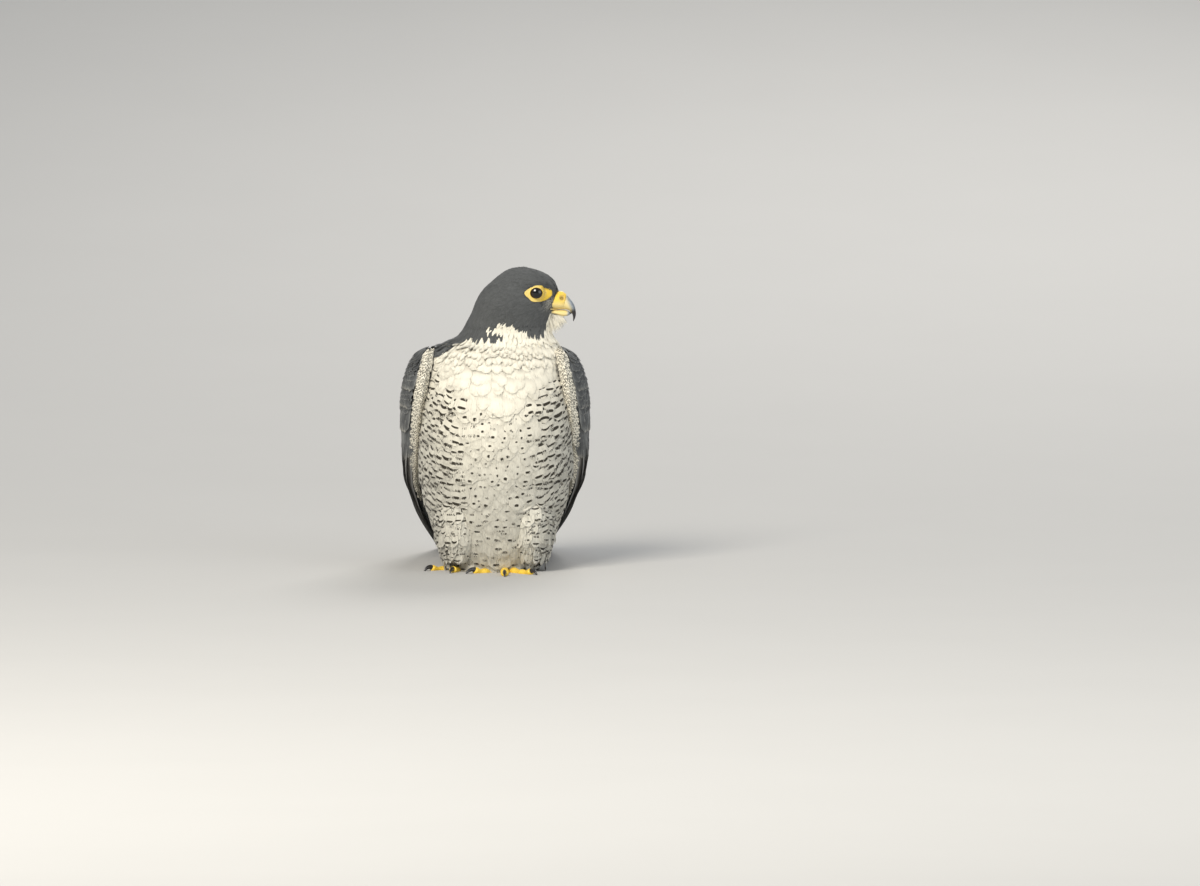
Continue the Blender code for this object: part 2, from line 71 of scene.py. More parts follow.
# Body outline by height: z, right side x, left side x, front y, back y, narrowing towards the front
BODY_OUTLINE = (
    (13.0, -38.0, 38.0, -31.0, 46.0, 0.00),
    (15.0, -42.0, 42.0, -36.0, 62.0, 0.00),
    (25.0, -49.0, 49.0, -42.0, 92.0, -0.10),
    (40.0, -55.5, 55.5, -48.0, 121.0, -0.22),
    (60.0, -62.0, 62.0, -55.0, 129.0, -0.22),
    (80.0, -66.5, 67.0, -61.0, 124.0, -0.16),
    (100.0, -69.0, 70.5, -65.5, 112.0, -0.08),
    (125.0, -69.5, 71.0, -68.0, 95.0, 0.00),
    (150.0, -68.0, 70.0, -67.0, 79.0, 0.00),
    (170.0, -65.0, 67.0, -62.0, 65.0, 0.00),
    (188.0, -62.0, 63.0, -52.0, 50.0, 0.00),
    (200.0, -58.0, 60.5, -41.0, 38.0, 0.00),
    (206.0, -51.0, 58.0, -34.5, 32.0, 0.00),
    (210.0, -41.0, 55.5, -31.0, 28.5, 0.00),
    (214.0, -34.0, 53.0, -29.0, 26.0, 0.05),
    (220.0, -29.0, 51.0, -28.5, 24.5, 0.12),
    (228.0, -24.5, 51.5, -29.0, 23.0, 0.20),
    (236.0, -20.5, 53.5, -30.0, 22.5, 0.26),
    (244.0, -17.5, 56.0, -30.0, 22.0, 0.30),
    (251.0, -14.0, 57.5, -29.0, 21.0, 0.28),
    (257.0, -9.5, 57.0, -27.0, 19.0, 0.24),
    (263.0, -3.0, 54.5, -23.5, 15.5, 0.18),
    (269.0, 4.0, 48.0, -18.5, 10.5, 0.12),
    (273.5, 10.5, 38.5, -12.5, 4.5, 0.05),
    (276.3, 18.0, 28.0, -6.5, -1.5, 0.00),
)
HEAD_MIDDLE_Y = -4.0

# Folded wing by height: z, leading edge x and y, widest x and y, rear edge x and y, thickness
WING_OUTLINE = (
    (205.5, 58.0, -6.0, 61.0, 4.0, 52.0, 14.0, 3.0),
    (200.0, 60.5, -24.0, 68.5, 4.0, 33.0, 40.0, 9.0),
    (188.0, 62.0, -33.0, 76.2, 4.0, 23.0, 56.0, 12.0),
    (172.0, 65.0, -32.0, 80.8, 8.0, 16.0, 71.0, 12.5),
    (150.0, 67.5, -23.0, 83.0, 16.0, 11.0, 88.0, 12.5),
    (125.0, 69.5, -5.0, 82.5, 30.0, 7.5, 105.0, 11.5),
    (100.0, 71.0, 20.0, 80.5, 54.0, 7.0, 122.0, 10.0),
    (80.0, 71.5, 54.0, 77.0, 86.0, 11.0, 142.0, 8.5),
    (60.0, 68.5, 96.0, 71.0, 120.0, 20.0, 171.0, 7.0),
    (40.0, 63.5, 142.0, 64.5, 160.0, 31.0, 200.0, 5.6),
    (24.0, 58.5, 178.0, 58.5, 192.0, 39.5, 220.0, 4.4),
    (11.0, 54.0, 206.0, 53.5, 216.0, 44.0, 232.0, 3.2),
    (3.0, 51.5, 224.0, 51.0, 230.0, 48.0, 237.0, 2.0),
)
WING_TIP_SPREAD = {"left": -9.0, "right": 0.5}

# Tail: share of its length, half width, half thickness
TAIL_BASE = (0.0, 92.0, 88.0)
TAIL_TIP = (0.0, 251.0, 0.9)
TAIL_STATIONS = (
    (0.00, 17.0, 3.6),
    (0.18, 22.0, 3.6),
    (0.45, 27.0, 3.0),
    (0.75, 31.0, 2.2),
    (0.93, 31.0, 1.7),
    (0.985, 25.0, 1.3),
    (1.00, 16.0, 1.0),
)
TAIL_ARCH = 5.0

# Feathered thigh by height: z, half width in x, half length in y
THIGH_CENTRE = (31.0, -5.0)
THIGH_OUTLINE = (
    (12.5, 12.0, 17.0),
    (15.0, 17.0, 25.0),
    (24.0, 21.0, 35.0),
    (38.0, 24.0, 41.0),
    (54.0, 24.5, 43.0),
    (68.0, 21.0, 40.0),
    (80.0, 13.0, 27.0),
    (84.0, 6.0, 14.0),
)

# Eyes
EYE_RADIUS = 7.6
EYE_X = 37.4
EYE_HEIGHT = 253.8
EYE_SPREAD = 14.8
LID_OPENING = (5.35, 4.75)
# Bare skin round the eye: its reach behind, ahead, above and below the eye's middle
ORBIT_REACH = (10.2, 14.2, 6.1, 7.4)

# Bill in the head's own upright plane: ridge x, ridge z, edge x, edge z, half width
CERE_STATIONS = (
    (49.0, 250.5, 49.0, 238.8, 6.6),
    (56.5, 254.2, 53.5, 238.6, 7.6),
    (60.5, 254.0, 57.5, 238.4, 7.6),
    (64.2, 251.8, 61.0, 238.2, 6.9),
)
UPPER_BILL_STATIONS = (
    (64.6, 251.0, 61.4, 238.2, 6.5),
    (67.2, 247.9, 64.2, 237.9, 5.8),
    (69.6, 244.9, 66.5, 237.1, 4.9),
    (71.4, 241.6, 68.2, 235.5, 3.9),
    (72.5, 237.8, 69.0, 234.2, 3.0),
    (72.9, 234.0, 69.9, 232.6, 2.1),
    (72.3, 230.6, 70.3, 230.2, 1.3),
    (70.9, 227.6, 70.3, 228.0, 0.4),
)
LOWER_BILL_STATIONS = (
    (49.0, 238.2, 49.0, 234.8, 5.6),
    (56.0, 238.0, 55.5, 233.4, 5.9),
    (61.5, 237.8, 60.7, 231.8, 5.4),
    (65.8, 236.6, 65.2, 232.2, 4.2),
    (68.6, 235.0, 68.4, 234.0, 1.8),
)
NOSTRIL = (60.2, 248.6)
NOSTRIL_RADIUS = 2.6

# Legs and toes
FOOT_PLACE = {"left": (9.0, -19.0), "right": (-26.0, 15.0)}
HEEL_PLACE = {"left": (23.0, 4.0, 52.0), "right": (-29.0, 22.0, 52.0)}
TOE_TURNS = {
    "left": {"middle": 0.0, "outer": 36.0, "inner": -54.0, "back": 176.0},
    "right": {"middle": -14.0, "outer": -50.0, "inner": 17.0, "back": 168.0},
}
# Toes: length, half thickness at the root and at the end
TOES = {
    "middle": (45.0, 3.7, 2.9),
    "outer": (37.0, 3.5, 2.7),
    "inner": (30.0, 3.6, 2.8),
    "back": (19.0, 3.6, 2.9),
}
TOE_START = 2.5
TOE_END_LIFT = 2.7
# Sole: height and radius
SOLE_OUTLINE = ((0.0, 5.2), (0.8, 6.4), (3.0, 7.0), (6.0, 6.6), (8.6, 5.0), (9.6, 3.0))
CLAW_LENGTH = {"middle": 15.0, "outer": 13.5, "inner": 14.5, "back": 15.5}
CLAW_RADIUS = 2.3
# Slope of a claw's middle line at its root and tip, in degrees
CLAW_SLOPES = (34.0, -84.0)
TOE_PLATE = 2.3
LOWEST_TOE = 0.02
TARSUS_RADIUS = 4.3
SIDES = {"left": 1.0, "right": -1.0}

# The picture: its size, where the line of the legs meets the floor in it, and the bird's scale
PICTURE = (1200.0, 886.0)
LEG_PIXEL = (495.0, 573.0)
MM_PER_PIXEL = 0.9
SENSOR_WIDTH = 36.0


def length_setting(name, description, default, low, high):
    """A length in metres."""
    return bpy.props.FloatProperty(
        name=name, description=description, default=default, min=low, max=high, unit="LENGTH")


def colour_setting(name, description, default):
    """A colour of three parts."""
    return bpy.props.FloatVectorProperty(
        name=name, description=description, default=default, min=0.0, max=1.0, subtype="COLOR", size=3)


class FalconPlumage(bpy.types.PropertyGroup):
    """Sizes of the small feathers and the colours of every surface."""

    body_row: length_setting(
        "Breast row spacing", "Distance between rows of breast feathers", 0.0068, 0.003, 0.02)
    body_length: length_setting(
        "Breast feather length", "Length of one breast feather", 0.021, 0.005, 0.05)
    head_row: length_setting(
        "Head row spacing", "Distance between rows of head feathers", 0.00135, 0.001, 0.01)
    cream: colour_setting(
        "Cream", "Breast and throat feathers", (0.84, 0.79, 0.66))
    belly: colour_setting(
        # The belly grey also darkens the flanks as painted shade.
        "Belly", "Greyer white of the flanks and belly", (0.66, 0.63, 0.54))
    slate: colour_setting(
        "Slate", "Hood feathers", (0.080, 0.083, 0.083))
    mantle: colour_setting(
        "Mantle", "Back and wing feathers", (0.110, 0.118, 0.122))
    mark: colour_setting(
        "Marks", "Dark bars and spots", (0.042, 0.035, 0.024))
    yellow: colour_setting(
        "Yellow skin", "Skin of the toes and round the eye", (0.90, 0.60, 0.060))
    horn: colour_setting(
        "Bill horn", "Middle of the upper bill", (0.30, 0.34, 0.38))


class FalconStage(bpy.types.PropertyGroup):
    """Where the camera stands."""

    distance: length_setting(
        "Camera distance", "From the camera to the bird", 12.0, 1.0, 100.0)
    elevation: bpy.props.FloatProperty(
        name="Camera elevation", description="Angle above the level",
        default=math.radians(4.0), min=0.0, max=1.5, subtype="ANGLE")


def smooth_table(table, at):
    """Read a table's columns at new first-column values with a monotone cubic.

    Each tangent is the harmonic mean of the slopes on its two sides, or zero at a turn.
    """
    rows = np.array(sorted(table), float)
    keys = rows[:, 0]
    values = rows[:, 1:]
    slopes = np.diff(values, axis=0) / np.diff(keys)[:, None]
    product = slopes[1:] * slopes[:-1]
    total = slopes[1:] + slopes[:-1]
    total = np.where(np.abs(total) < 1e-9, 1.0, total)
    inner = np.where(product > 0.0, 2.0 * product / total, 0.0)
    tangents = np.vstack([slopes[:1], inner, slopes[-1:]])
    at = np.clip(np.asarray(at, float), keys.min(), keys.max())
    left = np.clip(np.searchsorted(keys, at, side="right") - 1, 0, len(keys) - 2)
    width = (keys[left + 1] - keys[left])[:, None]
    t = (at - keys[left])[:, None] / width
    return (
        values[left] * (2 * t**3 - 3 * t**2 + 1)
        + tangents[left] * width * (t**3 - 2 * t**2 + t)
        + values[left + 1] * (3 * t**2 - 2 * t**3)
        + tangents[left + 1] * width * (t**3 - t**2)
    )


def even_shares(count):
    """Evenly spaced numbers from zero to one."""
    return np.linspace(0.0, 1.0, count)


def unit(vectors):
    """Vectors scaled to length one."""
    return vectors / np.maximum(np.linalg.norm(vectors, axis=-1, keepdims=True), 1e-9)


def step(value, low, high):
    """Zero below low, one above high, with an S-shaped cubic between."""
    t = np.clip((value - low) / (high - low), 0.0, 1.0)
    return t * t * (3.0 - 2.0 * t)


def bump(value, centre, width):
    """A bell of height one: e to the minus squared distance from centre over width."""
    return np.exp(-((value - centre) / width) ** 2)


def relief(x, y, z):
    """How far the face stands out from the plain body outline.

    A sum of bells: a brow ridge above the eye, hollows round the eye and before it, and a full
    cheek.
    """
    side = step(np.abs(y - HEAD_MIDDLE_Y), 7.0, 15.0)
    head = step(z, 222.0, 232.0)
    brow = 1.3 * bump(z, EYE_HEIGHT + 7.4 - 0.10 * (x - 40.0), 2.4) * bump(x, 41.0, 11.0)
    socket = -1.5 * bump(z, EYE_HEIGHT, 6.5) * bump(x, 39.0, 11.0)
    lore = -1.6 * bump(z, 247.5, 5.5) * bump(x, 51.5, 5.0)
    cheek = 0.8 * bump(z, 238.0, 8.0) * bump(x, 24.0, 14.0)
    return head * side * (brow + socket + lore + cheek)


def body_surface(height, angle):
    """Stacked level ellipses, each with its own reach right, left, forward and back.

    x = cx + rx cos(a) (1 + n sin(a)) and y = cy + ry sin(a) (1 - n cos(a)), where n narrows one end.
    Below the lowest level the surface goes on straight down.
    """
    height, angle = np.broadcast_arrays(np.asarray(height, float), np.asarray(angle, float))
    row = smooth_table(BODY_OUTLINE, height.ravel()).T.reshape(5, *height.shape)
    right, left, front, back, narrowing = row
    across = np.cos(angle)
    along = np.sin(angle)
    x = 0.5 * (left + right) + 0.5 * (left - right) * across * (1.0 + np.minimum(narrowing, 0.0) * along)
    y = 0.5 * (front + back) + 0.5 * (back - front) * along * (1.0 - np.maximum(narrowing, 0.0) * across)
    return np.stack([x, y, height], axis=-1)


def wing_table(side_name, height):
    """The wing's level outlines, with the tips moved apart or together on each side."""
    rows = smooth_table(WING_OUTLINE, height.ravel())
    drop = np.clip(1.0 - height.ravel() / 110.0, 0.0, 1.0)[:, None]
    rows[:, [0, 2, 4]] += WING_TIP_SPREAD[side_name] * drop
    return rows.T.reshape(7, *height.shape)


def wing_surface(side_name):
    """The folded wing's outer face, as a function of height and of place from lower to upper edge.

    Each level is a quadratic curve through the leading edge, the widest place and the rear edge.
    Below the wing's tip it goes on in a straight line.
    """
    side = SIDES[side_name]
    lowest = 3.0

    def level(height, t):
        lead_x, lead_y, wide_x, wide_y, rear_x, rear_y, thick = wing_table(side_name, height)
        middle = 0.42
        pull = 2.0 * middle * (1.0 - middle)
        control_x = (wide_x - (1 - middle) ** 2 * lead_x - middle**2 * rear_x) / pull
        control_y = (wide_y - (1 - middle) ** 2 * lead_y - middle**2 * rear_y) / pull
        x = (1 - t) ** 2 * lead_x + 2 * t * (1 - t) * control_x + t**2 * rear_x
        y = (1 - t) ** 2 * lead_y + 2 * t * (1 - t) * control_y + t**2 * rear_y
        return np.stack([side * x, y, height], axis=-1)

    def surface(height, t):
        height, t = np.broadcast_arrays(np.asarray(height, float), np.asarray(t, float))
        below = np.maximum(lowest - height, 0.0)[..., None]
        inside = np.maximum(height, lowest)
        here = level(inside, t)
        slope = (level(np.full_like(height, lowest + 3.0), t) - level(np.full_like(height, lowest), t)) / 3.0
        return here - slope * below

    return surface


def tail_surface(place, across):
    """The tail's upper face: a flat wedge from root to tip, arched down at its sides."""
    place, across = np.broadcast_arrays(np.asarray(place, float), np.asarray(across, float))
    base = np.array(TAIL_BASE)
    run = np.array(TAIL_TIP) - base
    along = run / np.linalg.norm(run)
    up = np.cross([1.0, 0.0, 0.0], along)
    half_depth = smooth_table(TAIL_STATIONS, place.ravel())[:, 1].reshape(place.shape)
    lift = half_depth - TAIL_ARCH * (1.0 - np.clip(place, 0.0, 1.0)) * (across / 27.0) ** 2
    return base + run * place[..., None] + across[..., None] * [1.0, 0.0, 0.0] + lift[..., None] * up


def thigh_surface(side_name):
    """The thigh's stacked level ellipses about its own upright axis."""
    side = SIDES[side_name]

    def surface(height, angle):
        height, angle = np.broadcast_arrays(np.asarray(height, float), np.asarray(angle, float))
        wide, long = smooth_table(THIGH_OUTLINE, height.ravel()).T.reshape(2, *height.shape)
        x = side * THIGH_CENTRE[0] + wide * np.cos(angle)
        y = THIGH_CENTRE[1] + long * np.sin(angle)
        return np.stack([x, y, height], axis=-1)

    return surface


def surface_normal(surface, u, v):
    """Unit normal from the cross product of the surface's two slopes."""
    e = SLOPE_STEP
    along_u = surface(u + e, v) - surface(u - e, v)
    along_v = surface(u, v + e * 0.1) - surface(u, v - e * 0.1)
    return unit(np.cross(along_v, along_u))


def lay_rows(surface, low, high, first, last, row_gap, gap, rng, scatter=0.25, meridians=5):
    """Roots in staggered rows.

    Rows stand a fixed distance apart along the mean of a few lines of constant second parameter,
    and roots a fixed distance apart along each row, each scattered a little.
    """
    u = np.linspace(low, high, 240)
    v = np.linspace(first, last, 160)
    lines = surface(u[:, None], np.linspace(first, last, meridians)[None, :])
    run = np.linalg.norm(np.diff(lines, axis=0), axis=2).mean(axis=1)
    run = np.concatenate([[0.0], np.cumsum(run)])
    count = max(2, int(run[-1] / row_gap))
    rows_u = []
    rows_v = []
    for index, place in enumerate(np.linspace(0.0, run[-1], count)):
        height = np.interp(place, run, u)
        arc = np.linalg.norm(np.diff(surface(np.full_like(v, height), v), axis=0), axis=1)
        arc = np.concatenate([[0.0], np.cumsum(arc)])
        number = max(1, int(round(arc[-1] / gap)))
        spots = (np.arange(number) + 0.25 + 0.5 * (index % 2)) / number * arc[-1]
        spots = spots + rng.uniform(-scatter, scatter, number) * gap
        near = place + rng.uniform(-scatter, scatter, number) * row_gap
        rows_u.append(np.interp(near, run, u))
        rows_v.append(np.interp(spots, arc, v))
    return np.concatenate(rows_u), np.concatenate(rows_v)


def vane_template(rows, across, flat=False):
    """One closed vane: rings of points from root to tip, over the top and back underneath.

    Returns the share of length, the place across, the side of the thickness, the loops of all
    faces and where each face starts. A flat one has no points underneath.
    """
    c = np.linspace(-1.0, 1.0, across)
    under = c[-2:0:-1][: 0 if flat else None]
    ring_c = np.concatenate([c, under])
    ring_h = np.concatenate([[0.0], np.ones(across - 2), [0.0], -np.ones(len(under))])
    around = len(ring_c)
    a = even_shares(rows)
    ring = np.arange(around)
    following = (ring + 1) % around
    low = around * np.arange(rows - 1)[:, None]
    quads = np.stack([low + ring, low + around + ring, low + around + following, low + following], axis=-1)
    last = (rows - 1) * around + ring[::-1]
    loops = np.concatenate([quads.ravel(), ring, last])
    starts = np.concatenate([4 * np.arange((rows - 1) * around), quads.size + np.array([0, around])])
    return np.repeat(a, around), np.tile(ring_c, rows), np.tile(ring_h, rows), loops, starts


def frayed(tract, count, rng, first, spill, wide, lift, round_off=0.32):
    """Barbs that part from the end of every vane of a tract.

    Barb j starts on its vane at place c across and a share of the length short of the rim, runs
    outward a little, and ends at the rim 1 - r c^2 or just past it, lifted off the vane.
    """
    spine, normal, half = tract["spine"], tract["normal"], tract["half"]
    number, given = spine.shape[:2]
    _, side = side_of(spine, normal)
    widest = half.max(axis=1)
    c = np.linspace(-0.96, 0.96, count) + rng.uniform(-0.10, 0.10, (number, count))
    end = 1.0 - round_off * c**2 + rng.uniform(-0.6 * spill, spill, (number, count))
    begin = end - first * rng.uniform(0.75, 1.15, (number, count))
    s = even_shares(BARB_ROWS)
    a = begin[..., None] + (end - begin)[..., None] * s
    across = c[..., None] * (0.74 + 0.26 * s) + 0.07 * rng.normal(size=(number, count, 1)) * s
    flat_a = a.reshape(number, -1)
    index = np.clip(flat_a, 0.0, 1.0) * (given - 1)
    low = np.minimum(index.astype(int), given - 2)
    share = (index - low)[..., None]

    def read(values):
        """Values along the vane, read between its rings."""
        lower = np.take_along_axis(values, low[..., None], axis=1)
        upper = np.take_along_axis(values, low[..., None] + 1, axis=1)
        return lower * (1.0 - share) + upper * share

    beyond = np.maximum(flat_a - 1.0, 0.0)[..., None] * (given - 1)
    place = read(spine) + beyond * (spine[:, -1:] - spine[:, -2:-1])
    up = unit(read(normal))
    out = across.reshape(number, -1) * widest[:, None]
    camber = tract.get("camber", VANE_CAMBER) * widest[:, None] * across.reshape(number, -1) ** 2
    curl = np.broadcast_to(lift, (number,))[:, None, None] * s**2 * rng.uniform(0.2, 1.3, (number, count, 1))
    rise = 0.05 - camber + curl.reshape(number, -1)
    points = place + read(side) * out[..., None] + up * rise[..., None]
    points[..., 2] = np.maximum(points[..., 2], LOWEST_BARB)
    barb_half = 0.5 * wide * rng.uniform(0.75, 1.2, (number * count, 1)) * (1.0 - 0.8 * s**2)[None, :]
    cell = 0.75 / math.sqrt(number)
    lane = np.arange(count)
    columns = math.ceil(math.sqrt(count))
    offset = (np.stack([lane % columns, lane // columns], axis=1) + 0.5) / columns - 0.5
    patch = (tract["patch"][:, None, :] + cell * offset[None]).reshape(-1, 2)
    hue = np.repeat(tract["hue"], count, axis=0)
    hue[:, 0] = np.clip(hue[:, 0] + rng.normal(0.0, 0.16, len(hue)), 0.0, 1.0)
    return {
        "spine": points.reshape(number * count, BARB_ROWS, 3),
        "normal": up.reshape(number * count, BARB_ROWS, 3),
        "half": barb_half,
        "along": np.clip(a, 0.0, 1.0).reshape(number * count, BARB_ROWS),
        "across_at": across.reshape(number * count, BARB_ROWS),
        "patch": np.clip(patch, 0.002, 0.998),
        "mark": np.repeat(tract["mark"], count, axis=0),
        "hue": hue,
        "across": 3,
        "flat": True,
        "thickness": BARB_THICKNESS,
        "camber": 0.0,
    }


def body_shape(a):
    """Half width of a soft feather: widens to two thirds of the length, then a round end."""
    turn = np.pi * np.clip(0.10 + 0.885 * a, 0.0, 1.0) ** 1.75
    return np.sqrt(np.clip(np.sin(turn), 0.0, 1.0)) * 0.97 + 0.03


def blunt_shape(a):
    """Half width of a broad covert: nearly even, with a blunt round end."""
    return np.clip((0.35 + 0.9 * a) * np.sqrt(np.clip(1.0 - (a * 0.992) ** 7, 0.0, 1.0)), 0.03, 1.0)


def quill_shape(a):
    """Half width of a flight feather: narrow at the root, even, then tapering to a round point."""
    return np.clip(step(a, -0.25, 0.3) * np.clip(1.0 - (a * 0.985) ** 5, 0.0, 1.0) ** 0.6, 0.04, 1.0)


def tail_shape(a):
    """Half width of a tail feather: slowly widening, with a blunt round end."""
    return np.clip((0.72 + 0.28 * a) * np.sqrt(np.clip(1.0 - (a * 0.996) ** 26, 0.0, 1.0)), 0.05, 1.0)


def bristle_shape(a):
    """Half width of a hair-like feather: a long even taper."""
    return np.clip(1.0 - 0.85 * a, 0.05, 1.0)


def metres(points):
    """Millimetres in the bird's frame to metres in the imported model's frame."""
    return (np.asarray(points, float) - [0.0, MIDDLE_OF_LENGTH, 0.0]) * MM


def fill_mesh(name, points, loops, starts, uv_maps, colours, finish, lies=None):
    """A mesh object from whole arrays of points, face loops, uv maps, point colours and lies.

    A lie is the direction a point's feather faces, used as its normal so that light falls
    softly over the coat.
    """
    mesh = bpy.data.meshes.new(name)
    mesh.vertices.add(len(points))
    mesh.vertices.foreach_set("co", metres(points).astype(np.float32).ravel())
    mesh.loops.add(len(loops))
    mesh.loops.foreach_set("vertex_index", np.asarray(loops, np.int32))
    mesh.polygons.add(len(starts))
    mesh.polygons.foreach_set("loop_start", np.asarray(starts, np.int32))
    mesh.polygons.foreach_set("use_smooth", np.ones(len(starts), bool))
    mesh.update(calc_edges=True)
    for map_name, uv in uv_maps.items():
        layer = mesh.uv_layers.new(name=map_name)
        layer.data.foreach_set("uv", uv[loops].astype(np.float32).ravel())
    for colour_name, colour in colours.items():
        layer = mesh.attributes.new(colour_name, "FLOAT_COLOR", "POINT")
        layer.data.foreach_set("color", colour.astype(np.float32).ravel())
    if lies is not None:
        mesh.normals_split_custom_set_from_vertices(lies.astype(np.float32))
    mesh.materials.append(finish)
    piece = bpy.data.objects.new(name, mesh)
    bpy.context.scene.collection.objects.link(piece)
    return piece


def side_of(spine, normal):
    """Unit directions along and across a vane at every ring of its spine."""
    along = unit(np.gradient(spine, axis=1))
    return along, unit(np.cross(normal, along))


def plumage_piece(name, tract, finish):
    """Joins a tract of vanes into pieces of under two hundred thousand triangles each.

    A tract holds spine and normal (n, rows, 3), half (n, rows), patch (n, 2), mark and hue (n, 4).
    Barbs also hold their place along and across the vane they part from.
    """
    number, rows = tract["spine"].shape[:2]
    across = tract.get("across", 3)
    flat = tract.get("flat", False)
    a, c, h, loops, starts = vane_template(rows, across, flat)
    around = len(a) // rows
    triangles = 2 * (rows - 1) * around + 2 * (around - 2)
    count = math.ceil(number * triangles / TRIANGLE_LIMIT)
    spread = np.repeat(np.arange(rows), around)
    for part in range(count):
        chosen = slice(number * part // count, number * (part + 1) // count)
        spine = tract["spine"][chosen]
        normal = tract["normal"][chosen]
        half = tract["half"][chosen][:, spread]
        _, side = side_of(spine, normal)
        thick = 0.5 * tract.get("thickness", VANE_THICKNESS) * h * np.sqrt(1.02 - a)
        down = tract.get("camber", VANE_CAMBER) * half * c**2
        points = (
            spine[:, spread]
            + side[:, spread] * (half * c)[..., None]
            + normal[:, spread] * (thick - down)[..., None]
        )
        here = len(spine)
        shift = np.arange(here)[:, None]
        all_loops = (loops[None, :] + shift * len(a)).ravel()
        all_starts = (starts[None, :] + shift * len(loops)).ravel()
        if "along" in tract:
            vane_x = tract["across_at"][chosen][:, spread] + 0.06 * c
            vane_y = tract["along"][chosen][:, spread]
        else:
            vane_x = np.broadcast_to(c, half.shape)
            vane_y = np.broadcast_to(a, half.shape)
        vane = np.stack([0.5 + 0.5 * vane_x, vane_y], axis=-1).reshape(-1, 2)
        corner = np.stack([0.5 * c, a - 0.5], axis=1) * np.array(tract.get("patch_size", (PATCH, PATCH)))
        patch = (tract["patch"][chosen][:, None, :] + corner[None]).reshape(-1, 2)
        colours = {
            "mark": np.repeat(tract["mark"][chosen], len(a), axis=0),
            "hue": np.repeat(tract["hue"][chosen], len(a), axis=0),
        }
        maps = {"Vane": vane, "OFBake": patch}
        label = name if count == 1 else name + "_" + str(part + 1)
        tilt = tract.get("roundness", VANE_ROUNDNESS) * c
        # The underside faces the other way, and the rim looks outward
        facing = np.where(h < 0.0, -1.0, 1.0)[None, :, None]
        lies = unit(normal[:, spread] * facing + side[:, spread] * tilt[None, :, None])
        piece = fill_mesh(label, points.reshape(-1, 3), all_loops, all_starts, maps, colours, finish,
                          lies.reshape(-1, 3))
        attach(piece, "root")


def coat_pieces(name, barb_name, tract, finish, slot, count, rng, **barbs):
    """Two pieces: the vanes of a tract, and the barbs that part from their ends."""
    plumage_piece(name, tract, finish)
    plumage_piece(barb_name, frayed(tract, count, rng, **barbs), finish)


def channels(*parts):
    """Colours from four parts, each an array or one number for all points."""
    return np.stack(np.broadcast_arrays(*parts), axis=-1).astype(float)


def plain_marks(rings, mark=(0.0, 0.0, 0.0, 1.0)):
    """One colour for every point of a shell's rings."""
    return np.tile(mark, (*rings.shape[:2], 1))


def patch_place(u, v, low, high, first, last):
    """Where a root lies on the unwrap of its own surface, kept inside the unit square."""
    x = (v - first) / (last - first)
    y = (u - low) / (high - low)
    return 0.01 + 0.98 * np.stack([np.clip(x, 0, 1), np.clip(y, 0, 1)], axis=1)


def short_tract(surface, u, v, lie, length, width, depth, rise, shape, rows=6,
                bend_limit=0.02, puff=None):
    """Feathers that lie along a surface from their roots.

    spine(s) = root + lie s L + normal (rise s - depth - k (s L)^2 / 2), where k is the surface's own
    bending along the lie, held below a limit so that ends hang free over sharp turns.
    A puff, if given, is a function of the roots that moves them out along their normals.
    """
    root = surface(u, v)
    normal = surface_normal(surface, u, v)
    if puff is not None:
        root = root + normal * puff(root)[:, None]
    lie = unit(lie - np.sum(lie * normal, axis=1, keepdims=True) * normal)
    e = SLOPE_STEP
    along_u = (surface(u + e, v) - surface(u - e, v)) / (2 * e)
    along_v = (surface(u, v + 0.1 * e) - surface(u, v - 0.1 * e)) / (0.2 * e)
    aa = np.sum(along_u**2, axis=1)
    bb = np.sum(along_v**2, axis=1)
    ab = np.sum(along_u * along_v, axis=1)
    la = np.sum(lie * along_u, axis=1)
    lb = np.sum(lie * along_v, axis=1)
    det = np.maximum(aa * bb - ab * ab, 1e-6)
    reach = 4.0
    du = reach * (la * bb - lb * ab) / det
    dv = reach * (lb * aa - la * ab) / det
    ahead = surface_normal(surface, u + du, v + dv)
    bend = np.clip(np.sum(ahead * lie, axis=1) / reach, LEAST_BEND, bend_limit)
    s = even_shares(rows)
    run = length[:, None] * s
    lift = rise[:, None] * s - depth[:, None] - 0.5 * bend[:, None] * run**2
    spine = root[:, None] + lie[:, None] * run[..., None] + normal[:, None] * lift[..., None]
    turned = unit(normal[:, None] + lie[:, None] * (bend[:, None] * run)[..., None])
    return {
        "spine": spine,
        "normal": turned,
        "half": 0.5 * width[:, None] * shape(s)[None, :],
    }


def long_tract(surface, start, end, width, lift_start, lift_end, shape, rows, toward=(0.0, 0.0, 1.0)):
    """Feathers that follow a surface from one pair of parameters to another, lifted off it.

    Normals are turned to the side of a given direction.
    """
    s = even_shares(rows)
    u = start[:, :1] + (end[:, :1] - start[:, :1]) * s
    v = start[:, 1:] + (end[:, 1:] - start[:, 1:]) * s
    spine = surface(u, v)
    normal = surface_normal(surface, u, v)
    normal = normal * np.where(np.sum(normal * np.array(toward), axis=-1, keepdims=True) < 0.0, -1.0, 1.0)
    lift = lift_start[:, None] + (lift_end - lift_start)[:, None] * s
    spine = spine + normal * lift[..., None]
    return {"spine": spine, "normal": normal, "half": 0.5 * width[:, None] * shape(s)[None, :]}


def joined(tracts):
    """Puts tracts of equal row counts together."""
    keys = ("spine", "normal", "half", "patch", "mark", "hue")
    whole = {key: np.concatenate([tract[key] for tract in tracts]) for key in keys}
    for key in ("across", "camber", "thickness", "patch_size"):
        if key in tracts[0]:
            whole[key] = tracts[0][key]
    return whole


def shoulder_line(x):
    """Height above which the right shoulder is slate, rising towards the neck."""
    return 190.0 + 0.85 * (x + 58.0)


